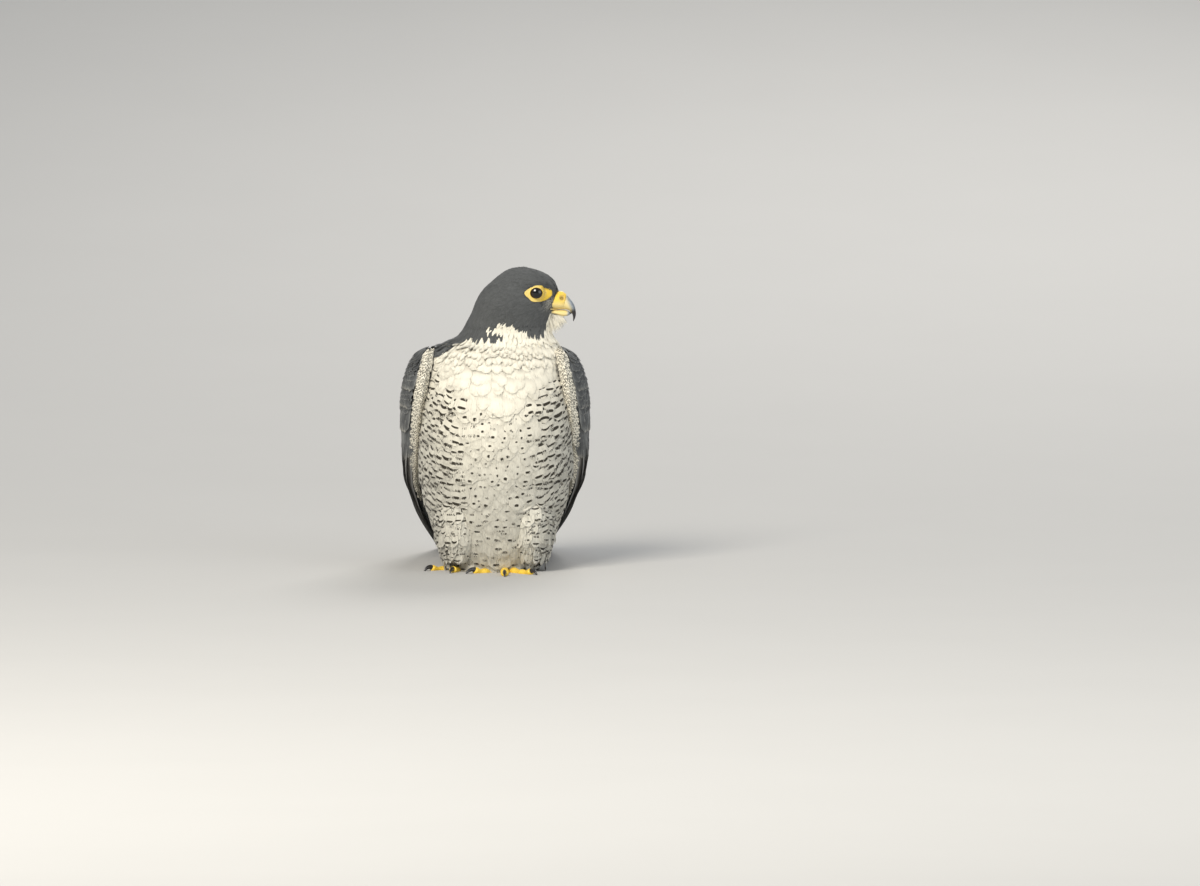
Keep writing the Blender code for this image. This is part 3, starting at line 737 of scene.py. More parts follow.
def hood_share(point, rng=None):
    """One where the plumage is slate, zero where it is cream, from the head's own pattern.

    A dark cap and nape come down to a level edge; a cheek patch is cut up into them; the malar
    stripe is a rounded lobe below the eye, and the chin and throat are cream. The hind neck and the
    right shoulder are slate too.
    """
    x, y, z = point.T
    if rng is not None:
        x = x + rng.normal(0.0, 0.4, len(x))
        z = z + rng.normal(0.0, 0.5, len(z))
    edge = np.full_like(x, 210.5)
    edge = np.where(x < -30.0, 208.0, edge)
    patch_top = 220.5 + 5.0 * step(x, -6.0, 6.0) - 7.0 * step(x, 14.0, 25.5)
    wedge_top = 217.3 - 7.5 * step(x, 1.0, 12.0)
    malar = 210.3 + 5.0 * ((x - 37.0) / 9.0) ** 2
    chin = 216.0 + 19.5 * step(x, 43.5, 50.5)
    slate = z > edge
    in_patch = (x > -7.0) & (x < 26.5) & (z < patch_top) & (z > wedge_top)
    below_patch = (x > 12.0) & (x < 28.0) & (z < patch_top)
    in_malar = (x >= 26.5) & (z > np.where(x < 44.5, malar, chin))
    slate = np.where(x >= 26.5, in_malar, slate & ~in_patch & ~below_patch)
    back = (y > 12.0 + 10.0 * step(x, 30.0, 50.0)) & (z < 226.0)
    shoulder = (x < -28.0) & (z > shoulder_line(x)) & (z < 222.0)
    slate = slate | (back & (z < 222.0)) | shoulder
    return slate.astype(float)


def orbit_outline(angle):
    """Reach of the bare skin round the eye, from four quarter ellipses drawn out to a corner behind."""
    behind, ahead, above, below = ORBIT_REACH
    across = np.where(np.cos(angle) > 0.0, ahead, behind)
    up = np.where(np.sin(angle) > 0.0, above, below)
    plain = 1.0 / np.sqrt((np.cos(angle) / across) ** 2 + (np.sin(angle) / up) ** 2)
    pinch = 1.0 - 0.16 * bump(np.abs(angle - np.pi), 0.55, 0.35)
    return plain * pinch


def in_orbit(x, z, margin):
    """True inside the bare skin round the eye, grown by a margin."""
    dx = x - EYE_X
    dz = z - EYE_HEIGHT
    angle = np.mod(np.arctan2(dz, dx), 2.0 * np.pi)
    return np.hypot(dx, dz) < orbit_outline(angle) + margin


def feed(tree, target, source):
    """Links a socket to an input, or sets the input to a plain number, vector or colour."""
    if hasattr(source, "is_output"):
        tree.links.new(source, target)
    elif target.type == "RGBA":
        target.default_value = (*source, 1.0)
    else:
        target.default_value = source


def node(tree, kind, links=(), **values):
    """Adds a shader node, sets its properties, and links (input name, source socket) pairs."""
    made = tree.nodes.new(kind)
    for key, value in values.items():
        setattr(made, key, value)
    for socket, source in links:
        feed(tree, made.inputs[socket], source)
    return made


def maths(tree, operation, *terms):
    """A Math node's output."""
    return node(tree, "ShaderNodeMath", enumerate(terms), operation=operation).outputs[0]


def ramp(tree, value, low, high, from_value=0.0, to_value=1.0):
    """A smooth step from one value to another between two thresholds."""
    made = node(tree, "ShaderNodeMapRange", [("Value", value), ("From Min", low), ("From Max", high),
                                             ("To Min", from_value), ("To Max", to_value)],
                interpolation_type="SMOOTHSTEP")
    return made.outputs["Result"]


def blend_colours(tree, factor, first, second, mode="MIX"):
    """A colour mix; first and second are sockets or plain colours."""
    made = node(tree, "ShaderNodeMix", data_type="RGBA", blend_type=mode)
    for socket, source in ((0, factor), (6, first), (7, second)):
        feed(tree, made.inputs[socket], source)
    return made.outputs[2]


def new_group(name, inputs, outputs):
    """A shader node group with named float inputs and typed outputs."""
    group = bpy.data.node_groups.new(name, "ShaderNodeTree")
    for socket_name, default in inputs:
        socket = group.interface.new_socket(socket_name, in_out="INPUT", socket_type="NodeSocketFloat")
        socket.default_value = default
    for socket_name, kind in outputs:
        group.interface.new_socket(socket_name, in_out="OUTPUT", socket_type=kind)
    return group, group.nodes.new("NodeGroupInput"), group.nodes.new("NodeGroupOutput")


def vane_lines_group():
    """Barbs of a vane: slanted fine lines off a shaft, with splits, from the Vane map.

    Puts out place along, distance from the shaft, a shaft mask, a fringe mask and a barb height.
    """
    group, _, out = new_group("vane_lines", (), (
        ("Along", "NodeSocketFloat"), ("Across", "NodeSocketFloat"), ("Shaft", "NodeSocketFloat"),
        ("Fringe", "NodeSocketFloat"), ("Barbs", "NodeSocketFloat")))
    uv = node(group, "ShaderNodeUVMap", uv_map="Vane").outputs["UV"]
    parts = node(group, "ShaderNodeSeparateXYZ", [("Vector", uv)])
    centred = maths(group, "MULTIPLY_ADD", parts.outputs["X"], 2.0, -1.0)
    across = maths(group, "ABSOLUTE", centred)
    along = parts.outputs["Y"]
    shaft = ramp(group, across, 0.03, 0.09, 1.0, 0.0)
    slant = maths(group, "MULTIPLY_ADD", across, -0.22, along)
    wave_place = node(group, "ShaderNodeCombineXYZ", [("X", maths(group, "MULTIPLY", slant, 46.0)),
                                                      ("Y", maths(group, "MULTIPLY", centred, 1.4))])
    noise = node(group, "ShaderNodeTexNoise", [("Vector", wave_place.outputs[0]), ("Scale", 1.0),
                                               ("Detail", 2.0), ("Roughness", 0.6)])
    edge = maths(group, "MAXIMUM", ramp(group, across, 0.62, 1.0), ramp(group, along, 0.86, 1.0))
    for name, socket in (("Along", along), ("Across", across), ("Shaft", shaft), ("Fringe", edge),
                         ("Barbs", noise.outputs["Fac"])):
        group.links.new(socket, out.inputs[name])
    return group


def bar_group():
    """One dark bar or spot on a vane.

    The mask is one inside an ellipse about the bar's place, half as wide as the half width and as
    high as the half thickness, bent with the square of the distance across.
    """
    group, given, out = new_group("vane_bar", (
        ("Along", 0.0), ("Across", 0.0), ("Place", 0.8), ("Half width", 0.5),
        ("Half thickness", 0.06), ("Bend", 0.0), ("Ragged", 0.0)), (("Mask", "NodeSocketFloat"),))
    g = given.outputs
    square = maths(group, "MULTIPLY", g["Across"], g["Across"])
    bent = maths(group, "MULTIPLY", square, g["Bend"])
    offset = maths(group, "SUBTRACT", maths(group, "SUBTRACT", g["Along"], g["Place"]), bent)
    high = maths(group, "DIVIDE", offset, maths(group, "ADD", g["Half thickness"], 0.001))
    wide = maths(group, "DIVIDE", g["Across"], maths(group, "ADD", g["Half width"], 0.02))
    reach = maths(group, "ADD", maths(group, "MULTIPLY", high, high), maths(group, "POWER", wide, 4.0))
    reach = maths(group, "MULTIPLY_ADD", g["Ragged"], 0.9, reach)
    shown = ramp(group, g["Half thickness"], 0.004, 0.02)
    mask = maths(group, "MULTIPLY", ramp(group, reach, 0.75, 1.35, 1.0, 0.0), shown)
    group.links.new(mask, out.inputs["Mask"])
    return group


def skin_scales_group():
    """Small scales of bare skin: cell borders and a soft mottle, from Object coordinates."""
    group, given, out = new_group("skin_scales", (("Scale", 900.0),), (
        ("Borders", "NodeSocketFloat"), ("Mottle", "NodeSocketFloat")))
    place = node(group, "ShaderNodeTexCoord").outputs["Object"]
    cells = node(group, "ShaderNodeTexVoronoi", [("Vector", place), ("Scale", given.outputs["Scale"])],
                 feature="DISTANCE_TO_EDGE")
    noise = node(group, "ShaderNodeTexNoise", [("Vector", place), ("Scale", 260.0), ("Detail", 3.0)])
    group.links.new(ramp(group, cells.outputs["Distance"], 0.0, 0.16), out.inputs["Borders"])
    group.links.new(noise.outputs["Fac"], out.inputs["Mottle"])
    return group


def shared_group(name, maker):
    """The named node group, made at its first use."""
    found = bpy.data.node_groups.get(name)
    return found if found else maker()


def place_group(tree, name, maker, links=()):
    """A group node of a shared group in a material."""
    made = node(tree, "ShaderNodeGroup")
    made.node_tree = shared_group(name, maker)
    for socket, source in links:
        feed(tree, made.inputs[socket], source)
    return made


def new_material(name, roughness, specular=0.35, sheen=0.0, coat=0.0):
    """A Principled material and its parts: material, tree, shader."""
    finish = bpy.data.materials.new(name)
    finish.use_nodes = True
    tree = finish.node_tree
    shader = tree.nodes["Principled BSDF"]
    shader.inputs["Roughness"].default_value = roughness
    shader.inputs["Specular IOR Level"].default_value = specular
    shader.inputs["Sheen Weight"].default_value = sheen
    shader.inputs["Sheen Roughness"].default_value = 0.6
    shader.inputs["Coat Weight"].default_value = coat
    return finish, tree, shader


def link_bump(tree, shader, height, strength, distance):
    """Feeds a height into the shader's normal."""
    made = node(tree, "ShaderNodeBump", [("Height", height), ("Strength", strength), ("Distance", distance)])
    tree.links.new(made.outputs["Normal"], shader.inputs["Normal"])


def point_colour(tree, name):
    """Sockets of the four parts of a point colour."""
    whole = node(tree, "ShaderNodeAttribute", attribute_name=name)
    parts = node(tree, "ShaderNodeSeparateColor", [("Color", whole.outputs["Color"])])
    return [*parts.outputs, whole.outputs["Alpha"]]


def object_noise(tree, scale, detail=3.0):
    """A noise value from Object coordinates."""
    place = node(tree, "ShaderNodeTexCoord").outputs["Object"]
    made = node(tree, "ShaderNodeTexNoise", [("Vector", place), ("Scale", scale), ("Detail", detail)])
    return made.outputs["Fac"]


def scaled(colour, share):
    """A colour with each part taken times a share."""
    return tuple(share * part for part in colour)


def link_shaded(tree, shader, colour, shade):
    """Feeds a colour, taken times a shade of grey, into the shader's base colour."""
    grey = node(tree, "ShaderNodeCombineColor", [("Red", shade), ("Green", shade), ("Blue", shade)])
    colour = blend_colours(tree, 1.0, colour, grey.outputs[0], "MULTIPLY")
    tree.links.new(colour, shader.inputs["Base Color"])


def body_feather_material(look):
    """Soft body feathers.

    mark holds bar place, bar half width, bar half thickness and bar bend; hue holds tone, which over the
    brow carries painted shade, share of slate, share of belly grey, which on the flanks is painted shade,
    and the strength of a pale edge.
    """
    finish, tree, shader = new_material("soft_feather", 0.85, 0.18, 0.10)
    place, wide, thick, bend = point_colour(tree, "mark")
    tone, slate, grey, edge = point_colour(tree, "hue")
    lines = place_group(tree, "vane_lines", vane_lines_group).outputs
    bend = maths(tree, "MULTIPLY_ADD", bend, 0.6, -0.3)
    ragged = maths(tree, "SUBTRACT", lines["Barbs"], 0.5)
    shared = (("Along", lines["Along"]), ("Across", lines["Across"]), ("Half width", wide),
              ("Half thickness", thick), ("Bend", bend), ("Ragged", ragged))
    first, second = [place_group(tree, "vane_bar", bar_group, (*shared, ("Place", spot))).outputs["Mask"]
                     for spot in (place, maths(tree, "SUBTRACT", place, BAR_GAP))]
    bars = maths(tree, "MAXIMUM", first, second)
    pale = blend_colours(tree, grey, look.cream, look.belly)
    # Darker towards each vane's root: grey under-down, partly painted shade where the covered bases show
    # between feathers.
    pale = blend_colours(tree, ramp(tree, lines["Along"], 0.62, 0.12, 0.0, 0.5), pale, (0.36, 0.33, 0.27))
    dark = blend_colours(tree, maths(tree, "MULTIPLY", lines["Fringe"], edge), look.slate,
                         scaled(look.slate, 1.7))
    colour = blend_colours(tree, slate, pale, dark)
    colour = blend_colours(tree, maths(tree, "MULTIPLY", bars, maths(tree, "SUBTRACT", 1.0, slate)),
                           colour, look.mark)
    contrast = maths(tree, "MULTIPLY_ADD", slate, 0.34, 0.13)
    shade = maths(tree, "MULTIPLY_ADD", maths(tree, "SUBTRACT", tone, 0.5), contrast, 1.0)
    barb_shade = maths(tree, "MULTIPLY_ADD", lines["Barbs"], 0.20, 0.90)
    shade = maths(tree, "MULTIPLY", shade, barb_shade)
    link_shaded(tree, shader, colour, shade)
    link_bump(tree, shader, lines["Barbs"], 0.25, 0.0002)
    return finish


def covert_material(look):
    """Slate wing and back feathers.

    mark holds bar strength, bar count, white share and pale tip; hue holds tone, brown share,
    edge strength and herringbone share.
    """
    finish, tree, shader = new_material("slate_covert", 0.62, 0.3, 0.10)
    bar_strength, bar_count, white, pale_tip = point_colour(tree, "mark")
    tone, brown, edge, herring = point_colour(tree, "hue")
    lines = place_group(tree, "vane_lines", vane_lines_group).outputs
    base = blend_colours(tree, brown, look.mantle, (0.125, 0.110, 0.090))
    centre = maths(tree, "MULTIPLY", ramp(tree, lines["Across"], 0.0, 0.75, 1.0, 0.0), 0.38)
    base = blend_colours(tree, centre, base, scaled(look.mantle, 0.42))
    count = maths(tree, "MULTIPLY", bar_count, 20.0)
    curve = maths(tree, "MULTIPLY", maths(tree, "MULTIPLY", lines["Across"], lines["Across"]), -0.05)
    phase = maths(tree, "MULTIPLY", maths(tree, "ADD", lines["Along"], curve), count)
    wave = maths(tree, "SINE", maths(tree, "MULTIPLY", phase, 2.0 * math.pi))
    dark_bar = maths(tree, "MULTIPLY", ramp(tree, wave, -0.15, 0.45), bar_strength)
    base = blend_colours(tree, dark_bar, base, scaled(look.mantle, 0.30))
    rim = maths(tree, "MULTIPLY", lines["Fringe"], edge)
    base = blend_colours(tree, rim, base, (0.34, 0.34, 0.32))
    tip = maths(tree, "MULTIPLY", ramp(tree, lines["Along"], 0.955, 0.985), pale_tip)
    base = blend_colours(tree, tip, base, (0.62, 0.58, 0.48))
    base = blend_colours(tree, maths(tree, "MULTIPLY", lines["Shaft"], 0.6), base, (0.018, 0.017, 0.016))
    slant = maths(tree, "MULTIPLY_ADD", lines["Across"], -0.34, lines["Along"])
    stripes = maths(tree, "SINE", maths(tree, "MULTIPLY_ADD", slant, 15.5, 1.0))
    stripes = ramp(tree, stripes, 0.30, 0.60)
    marked = maths(tree, "MULTIPLY", stripes, herring)
    light = blend_colours(tree, marked, look.cream, look.mark)
    colour = blend_colours(tree, white, base, light)
    shade = maths(tree, "MULTIPLY_ADD", tone, 0.40, 0.76)
    shade = maths(tree, "MULTIPLY", shade, maths(tree, "MULTIPLY_ADD", lines["Barbs"], 0.22, 0.89))
    link_shaded(tree, shader, colour, shade)
    link_bump(tree, shader, lines["Barbs"], 0.45, 0.0004)
    return finish


def skin_material(look):
    """Skin under the coat, pale or slate by a point colour."""
    finish, tree, shader = new_material("feathered_skin", 0.9, 0.15)
    slate = point_colour(tree, "mark")[0]
    noise = object_noise(tree, 420.0)
    pale = blend_colours(tree, noise, look.belly, look.cream)
    dark = blend_colours(tree, noise, scaled(look.slate, 0.6), look.slate)
    tree.links.new(blend_colours(tree, slate, pale, dark), shader.inputs["Base Color"])
    link_bump(tree, shader, noise, 0.4, 0.0006)
    return finish


def bare_skin_material(name, look, scale, warm):
    """Yellow scaly skin: paler over the scales, browner between them."""
    finish, tree, shader = new_material(name, 0.42, 0.4, 0.0, 0.06)
    scales = place_group(tree, "skin_scales", skin_scales_group, (("Scale", scale),)).outputs
    light = tuple(min(1.0, part * warm) for part in look.yellow)
    base = blend_colours(tree, scales["Mottle"], look.yellow, light)
    brown, pale, dark, _ = point_colour(tree, "mark")
    base = blend_colours(tree, brown, base, (0.30, 0.20, 0.15))
    base = blend_colours(tree, pale, base, (0.82, 0.71, 0.38))
    base = blend_colours(tree, dark, base, (0.020, 0.012, 0.008))
    crack = ramp(tree, scales["Borders"], 0.0, 1.0, 0.24, 0.0)
    colour = blend_colours(tree, crack, base, scaled(look.yellow, 0.45))
    tree.links.new(colour, shader.inputs["Base Color"])
    tree.links.new(ramp(tree, scales["Mottle"], 0.2, 0.8, 0.34, 0.52), shader.inputs["Roughness"])
    link_bump(tree, shader, scales["Borders"], 0.35, 0.00025)
    return finish


def horn_material(name, look):
    """Polished horn with growth streaks; the point colour mixes grey, yellow and black parts."""
    finish, tree, shader = new_material(name, 0.28, 0.5, 0.0, 0.25)
    black, yellow, _, _ = point_colour(tree, "mark")
    place = node(tree, "ShaderNodeTexCoord").outputs["Object"]
    stretched = node(tree, "ShaderNodeMapping", [("Vector", place), ("Scale", (420.0, 900.0, 240.0))])
    noise = node(tree, "ShaderNodeTexNoise", [("Vector", stretched.outputs[0]), ("Scale", 1.0),
                                              ("Detail", 4.0), ("Roughness", 0.65)])
    grey = blend_colours(tree, ramp(tree, noise.outputs["Fac"], 0.32, 0.68),
                         scaled(look.horn, 0.72), scaled(look.horn, 1.25))
    colour = blend_colours(tree, yellow, grey, (0.80, 0.64, 0.27))
    colour = blend_colours(tree, black, colour, (0.022, 0.020, 0.020))
    tree.links.new(colour, shader.inputs["Base Color"])
    tree.links.new(ramp(tree, noise.outputs["Fac"], 0.2, 0.8, 0.22, 0.38), shader.inputs["Roughness"])
    link_bump(tree, shader, noise.outputs["Fac"], 0.15, 0.0002)
    return finish


def eye_material():
    """A wet eye: black pupil in a very dark brown iris, told apart by the point colour."""
    finish, tree, shader = new_material("wet_eye", 0.06, 0.35, 0.0, 0.5)
    shader.inputs["Coat Roughness"].default_value = 0.02
    pupil = point_colour(tree, "mark")[0]
    iris = blend_colours(tree, object_noise(tree, 1500.0, 2.0), (0.008, 0.004, 0.002), (0.020, 0.010, 0.005))
    tree.links.new(blend_colours(tree, pupil, iris, (0.001, 0.001, 0.001)), shader.inputs["Base Color"])
    return finish


def grid_faces(rows, around, closed=True):
    """Loops and starts of the quads over a grid of rings, with one face over each end if closed."""
    ring = np.arange(around if closed else around - 1)
    following = (ring + 1) % around
    loops = []
    for row in range(rows - 1):
        low = row * around
        high = low + around
        loops.append(np.stack([low + ring, low + following, high + following, high + ring], axis=1).ravel())
    starts = list(range(0, 4 * len(ring) * (rows - 1), 4))
    total = 4 * len(ring) * (rows - 1)
    if closed:
        loops += [ring[::-1], (rows - 1) * around + ring]
        starts += [total, total + around]
    return np.concatenate(loops), starts


def shell_piece(name, shells, finish, replaced=(), marks=None):
    """A piece of one or more closed shells, each an array of rings; marks hold a colour for each point."""
    points = []
    loops = []
    starts = []
    base = 0
    for rings in shells:
        rows, around = rings.shape[:2]
        quads, begin = grid_faces(rows, around)
        # The middle ring's direction decides which way the shell faces
        edge_a = rings[rows // 2, 1] - rings[rows // 2, 0]
        edge_b = rings[rows // 2 + 1, 0] - rings[rows // 2, 0]
        centre = rings[rows // 2].mean(axis=0)
        outward = np.dot(np.cross(edge_a, edge_b), rings[rows // 2, 0] - centre)
        if outward < 0.0:
            rings = rings[:, ::-1]
            if marks is not None:
                marks[len(points)] = marks[len(points)][:, ::-1]
        flat = rings.reshape(-1, 3)
        points.append(flat)
        loops.append(quads + base)
        starts.extend([value + sum(len(part) for part in loops[:-1]) for value in begin])
        base += len(flat)
    points = np.concatenate(points)
    loops = np.concatenate(loops)
    colours = {}
    if marks is not None:
        colours["mark"] = np.concatenate([part.reshape(-1, 4) for part in marks])
    piece = fill_mesh(name, points, loops, starts, {}, colours, finish)
    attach(piece, "root")
    if replaced:
        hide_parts(*replaced)
    return piece


def look():
    """The plumage settings."""
    return bpy.context.scene.falcon_plumage


def finish_named(name, maker, *given):
    """A material by name, made at its first use."""
    found = bpy.data.materials.get(name)
    return found if found else maker(*given)


def soft_finish():
    """The material of breast, belly and head feathers."""
    return finish_named("soft_feather", body_feather_material, look())


def covert_finish():
    """The material of back, wing and tail feathers."""
    return finish_named("slate_covert", covert_material, look())


def wing_shell(side_name, heights, inset, trim_ends):
    """The wing as a closed strip of rings, drawn in on every face."""
    surface = wing_surface(side_name)
    t = np.linspace(trim_ends, 1.0 - trim_ends, 16)
    level, place = np.broadcast_arrays(heights[:, None], t[None, :])
    outer = surface(level, place)
    normal = surface_normal(surface, level, place)
    normal = normal * np.sign(np.sum(normal * [SIDES[side_name], 0.0, 0.2], axis=-1, keepdims=True))
    thick = wing_table(side_name, level)[6]
    depth = thick * np.minimum(1.0, np.sqrt(t * 5.0)) * (1.0 - 0.78 * t**2) + 0.7
    inner = outer - normal * np.maximum(depth - 0.3, 0.9)[..., None]
    outer = outer - normal * np.minimum(inset, 0.4 * depth)[..., None]
    return np.concatenate([outer, inner[:, ::-1]], axis=1)


def outside_body(point):
    """How far a point stands out of the body's level ellipse: one on its surface."""
    x, y, z = point.T
    right, left, front, back, _ = smooth_table(BODY_OUTLINE, z).T
    return np.hypot((x - 0.5 * (left + right)) / (0.5 * (left - right)),
                    (y - 0.5 * (front + back)) / (0.5 * (back - front)))


def make_skin():
    """One skin over head, neck, trunk, wings, thighs and tail.

    The body's rings are drawn in along their normals by the coat's depth, closed shells for the
    wings, thighs and tail are added, and a fine even remesh joins them.
    """
    heights = np.concatenate([np.linspace(13.0, 40.0, 14), np.linspace(43.0, 200.0, 60),
                              np.linspace(202.0, 276.2, 52)])
    angle = full_turn(96)
    u, v = np.broadcast_arrays(heights[:, None], angle[None, :])
    plain = body_surface(u, v)
    normal = surface_normal(body_surface, u, v)
    depth = 1.7 - 1.0 * step(heights, 205.0, 228.0)[:, None]
    out = relief(*np.moveaxis(plain, -1, 0)) - depth
    shells = [plain + normal * out[..., None]]
    wing_heights = np.concatenate([np.linspace(4.0, 30.0, 10), np.linspace(35.0, 204.0, 40)])
    for side_name in SIDES:
        shells.append(wing_shell(side_name, wing_heights, 1.5, 0.02))
        surface = thigh_surface(side_name)
        levels = np.linspace(12.5, 83.0, 24)
        uu, vv = np.broadcast_arrays(levels[:, None], full_turn(40)[None, :])
        shells.append(surface(uu, vv) - surface_normal(surface, uu, vv) * 1.6)
    place = np.linspace(0.0, 0.985, 30)
    half = smooth_table(TAIL_STATIONS, place)[:, 0] - 1.2
    across = np.linspace(-1.0, 1.0, 15)
    top = tail_surface(place[:, None], half[:, None] * across[None, :])
    run = unit(np.array(TAIL_TIP) - np.array(TAIL_BASE))
    up = np.cross([1.0, 0.0, 0.0], run)
    depths = smooth_table(TAIL_STATIONS, place)[:, 1][:, None, None]
    shells.append(np.concatenate([top - up * 0.5, (top - up * np.maximum(2.0 * depths - 0.5, 1.6))[:, ::-1]],
                                 axis=1))
    finish = finish_named("feathered_skin", skin_material, look())
    piece = shell_piece("skin", shells, finish,
                        ("head", "neck", "trunk", "wing_left", "wing_right", "thigh_left", "thigh_right",
                         "tail"))
    remesh = piece.modifiers.new("join", "REMESH")
    remesh.mode = "VOXEL"
    remesh.voxel_size = SKIN_VOXEL * MM
    remesh.use_smooth_shade = True
    view = bpy.context.evaluated_depsgraph_get()
    whole = bpy.data.meshes.new_from_object(piece.evaluated_get(view))
    piece.modifiers.remove(remesh)
    old = piece.data
    piece.data = whole
    bpy.data.meshes.remove(old)
    co = np.empty(3 * len(whole.vertices), np.float32)
    whole.vertices.foreach_get("co", co)
    point = co.reshape(-1, 3).astype(float) / MM + [0.0, MIDDLE_OF_LENGTH, 0.0]
    x, y, z = point.T
    far = outside_body(point) > 1.03
    leg = (np.hypot(np.abs(x) - THIGH_CENTRE[0], 0.6 * (y - THIGH_CENTRE[1])) < 27.0) & (z < 90.0)
    back = (y > 22.0) & (z > 60.0 - 0.3 * (y - 120.0))
    slate = np.where(z > 209.0, hood_share(point), ((far & ~leg) | back).astype(float))
    colour = channels(slate, 0.0, 0.0, 1.0)
    layer = whole.attributes.new("mark", "FLOAT_COLOR", "POINT")
    layer.data.foreach_set("color", colour.astype(np.float32).ravel())
    whole.materials.clear()
    whole.materials.append(finish)


def lean(vectors, rng, amount):
    """Turns directions at random by a small amount."""
    return vectors + rng.normal(0.0, amount, vectors.shape)


def room_below(z):
    """Longest feather that hangs from a height without reaching the floor."""
    return np.maximum(z - 2.5, 4.0)


def body_lie(root):
    """Which way body feathers point: down the front, out and down the flanks, back under the tail."""
    x, y, z = root.T
    sideways = 0.28 * np.sign(x) * step(np.abs(x), 20.0, 55.0) * step(z, 40.0, 110.0) * step(-y, -25.0, 30.0)
    under = step(y, 5.0, 55.0) * step(-z, -75.0, -30.0)
    back = step(y, 10.0, 60.0)
    return np.stack([sideways, 0.15 + 1.6 * under + 0.5 * back, -1.0 + 0.75 * under], axis=1)


def front_marks(point, rng):
    """Bars and spots of the breast and belly by place.

    None above a curved line, drops at the centre, wide level bars towards the flanks, and short
    dashes on the lower belly.
    """
    x, y, z = point.T
    number = len(x)
    side = np.abs(x - 3.0)
    line = 149.0 + 36.0 * step(side, 14.0, 62.0) + rng.normal(0.0, 4.0, number)
    shown = step(line - z, -2.0, 8.0)
    flank = step(side, 20.0, 42.0)
    low = step(-z, -80.0, -45.0)
    width = 0.17 + 0.68 * flank * (1.0 - 0.25 * low) + 0.20 * low
    thick = 0.048 + 0.006 * flank - 0.008 * low
    width = width * rng.uniform(0.78, 1.15, number)
    thick = thick * rng.uniform(0.75, 1.25, number) * shown
    gone = rng.random(number) < (0.24 - 0.22 * flank + 0.10 * low)
    thick = np.where(gone, 0.0, thick)
    place = 0.83 + rng.normal(0.0, 0.035, number)
    bend = 0.5 - 0.05 * flank + rng.normal(0.0, 0.12, number)
    return channels(place, np.clip(width, 0, 1), np.clip(thick, 0, 1), np.clip(bend, 0, 1))


def make_front_coat():
    """Breast, belly and flank feathers, from the throat down to the feet and round under the tail."""
    size = look()
    rng = np.random.default_rng(11)
    row = size.body_row / MM
    finish = soft_finish()
    for label, low, high, first, last, gap, barbs in (
            ("breast_coat", 15.0, 207.0, -1.03 * np.pi, 0.03 * np.pi, 1.05 * row, 36),
            ("vent_coat", 14.0, 78.0, 0.03 * np.pi, 0.97 * np.pi, 1.15 * row, 16)):
        u, v = lay_rows(body_surface, low, high, first, last, row, gap, rng, 0.38)
        root = body_surface(u, v)
        number = len(u)
        x, y, z = root.T
        lie = lean(body_lie(root), rng, 0.10)
        length = size.body_length / MM * rng.uniform(0.82, 1.15, number)
        length = length * (1.0 - 0.30 * step(z, 165.0, 200.0))
        length = np.minimum(length, room_below(z))
        width = 0.68 * length * rng.uniform(0.88, 1.15, number)
        fluff = step(-z, -75.0, -20.0)
        depth = np.full(number, 1.2)
        rise = 1.10 - 0.35 * step(z, 140.0, 180.0) + fluff + rng.uniform(-0.10, 0.14, number)
        tract = short_tract(body_surface, u, v, lie, length, width, depth, rise, body_shape, rows=6,
                            bend_limit=0.022)
        middle = tract["spine"][:, 4]
        tract["patch"] = patch_place(u, v, low, high, first, last)
        marks = front_marks(middle, rng)
        behind = step(y, 25.0, 60.0)
        marks[:, 1] = np.maximum(marks[:, 1], 0.6 * behind)
        marks[:, 2] = np.where(behind > 0.5, 0.05 * rng.uniform(0.7, 1.2, number), marks[:, 2])
        tract["mark"] = marks
        # Greyer towards the bottom of the body; the greyer flanks are painted shade.
        grey = step(-z, -175.0, -80.0) * 0.85 + 0.5 * step(np.abs(x), 30.0, 58.0)
        shoulder = (middle[:, 2] > shoulder_line(middle[:, 0])) | (
            (middle[:, 1] > -4.0) & (middle[:, 2] > 186.0))
        tract["hue"] = channels(rng.random(number), shoulder, np.clip(grey, 0, 1), 0.0)
        tract["camber"] = 0.07
        coat_pieces(label, label + "_barbs", tract, finish, "breast_plumage", barbs, rng,
                    first=0.5, spill=0.16, wide=0.55, lift=0.12 + 0.6 * fluff)


def make_thigh_coat():
    """Soft trousers with the bars of the belly."""
    finish = soft_finish()
    for index, side_name in enumerate(SIDES):
        rng = np.random.default_rng(31 + index)
        surface = thigh_surface(side_name)
        u, v = lay_rows(surface, 13.0, 76.0, 0.0, 2.0 * np.pi, 5.8, 6.4, rng)
        root = surface(u, v)
        number = len(u)
        lie = lean(np.tile([0.0, 0.05, -1.0], (number, 1)), rng, 0.10)
        length = np.minimum(17.0 * rng.uniform(0.85, 1.15, number), room_below(root[:, 2]))
        top = step(root[:, 2], 38.0, 62.0)
        rise = 2.0 + rng.uniform(-0.3, 0.4, number) - 0.9 * top
        tract = short_tract(surface, u, v, lie, length, 0.68 * length, np.full(number, 1.4),
                            rise, body_shape, bend_limit=0.05)
        # Level out the normals of the rounded top, so that it takes the light as the belly does
        tract["normal"] = unit(tract["normal"] * [1.0, 1.0, 0.2])
        tract["patch"] = patch_place(u, v, 13.0, 80.0, 0.0, 2.0 * np.pi)
        tract["mark"] = front_marks(tract["spine"][:, 4], rng)
        tract["hue"] = channels(rng.random(number), 0.0, rng.uniform(0.75, 1.0, number), 0.0)
        coat_pieces("thigh_coat_" + side_name, "thigh_barbs_" + side_name, tract, finish, "breast_plumage",
                    17, rng, first=0.55, spill=0.16, wide=0.6, lift=0.6 - 0.5 * top)


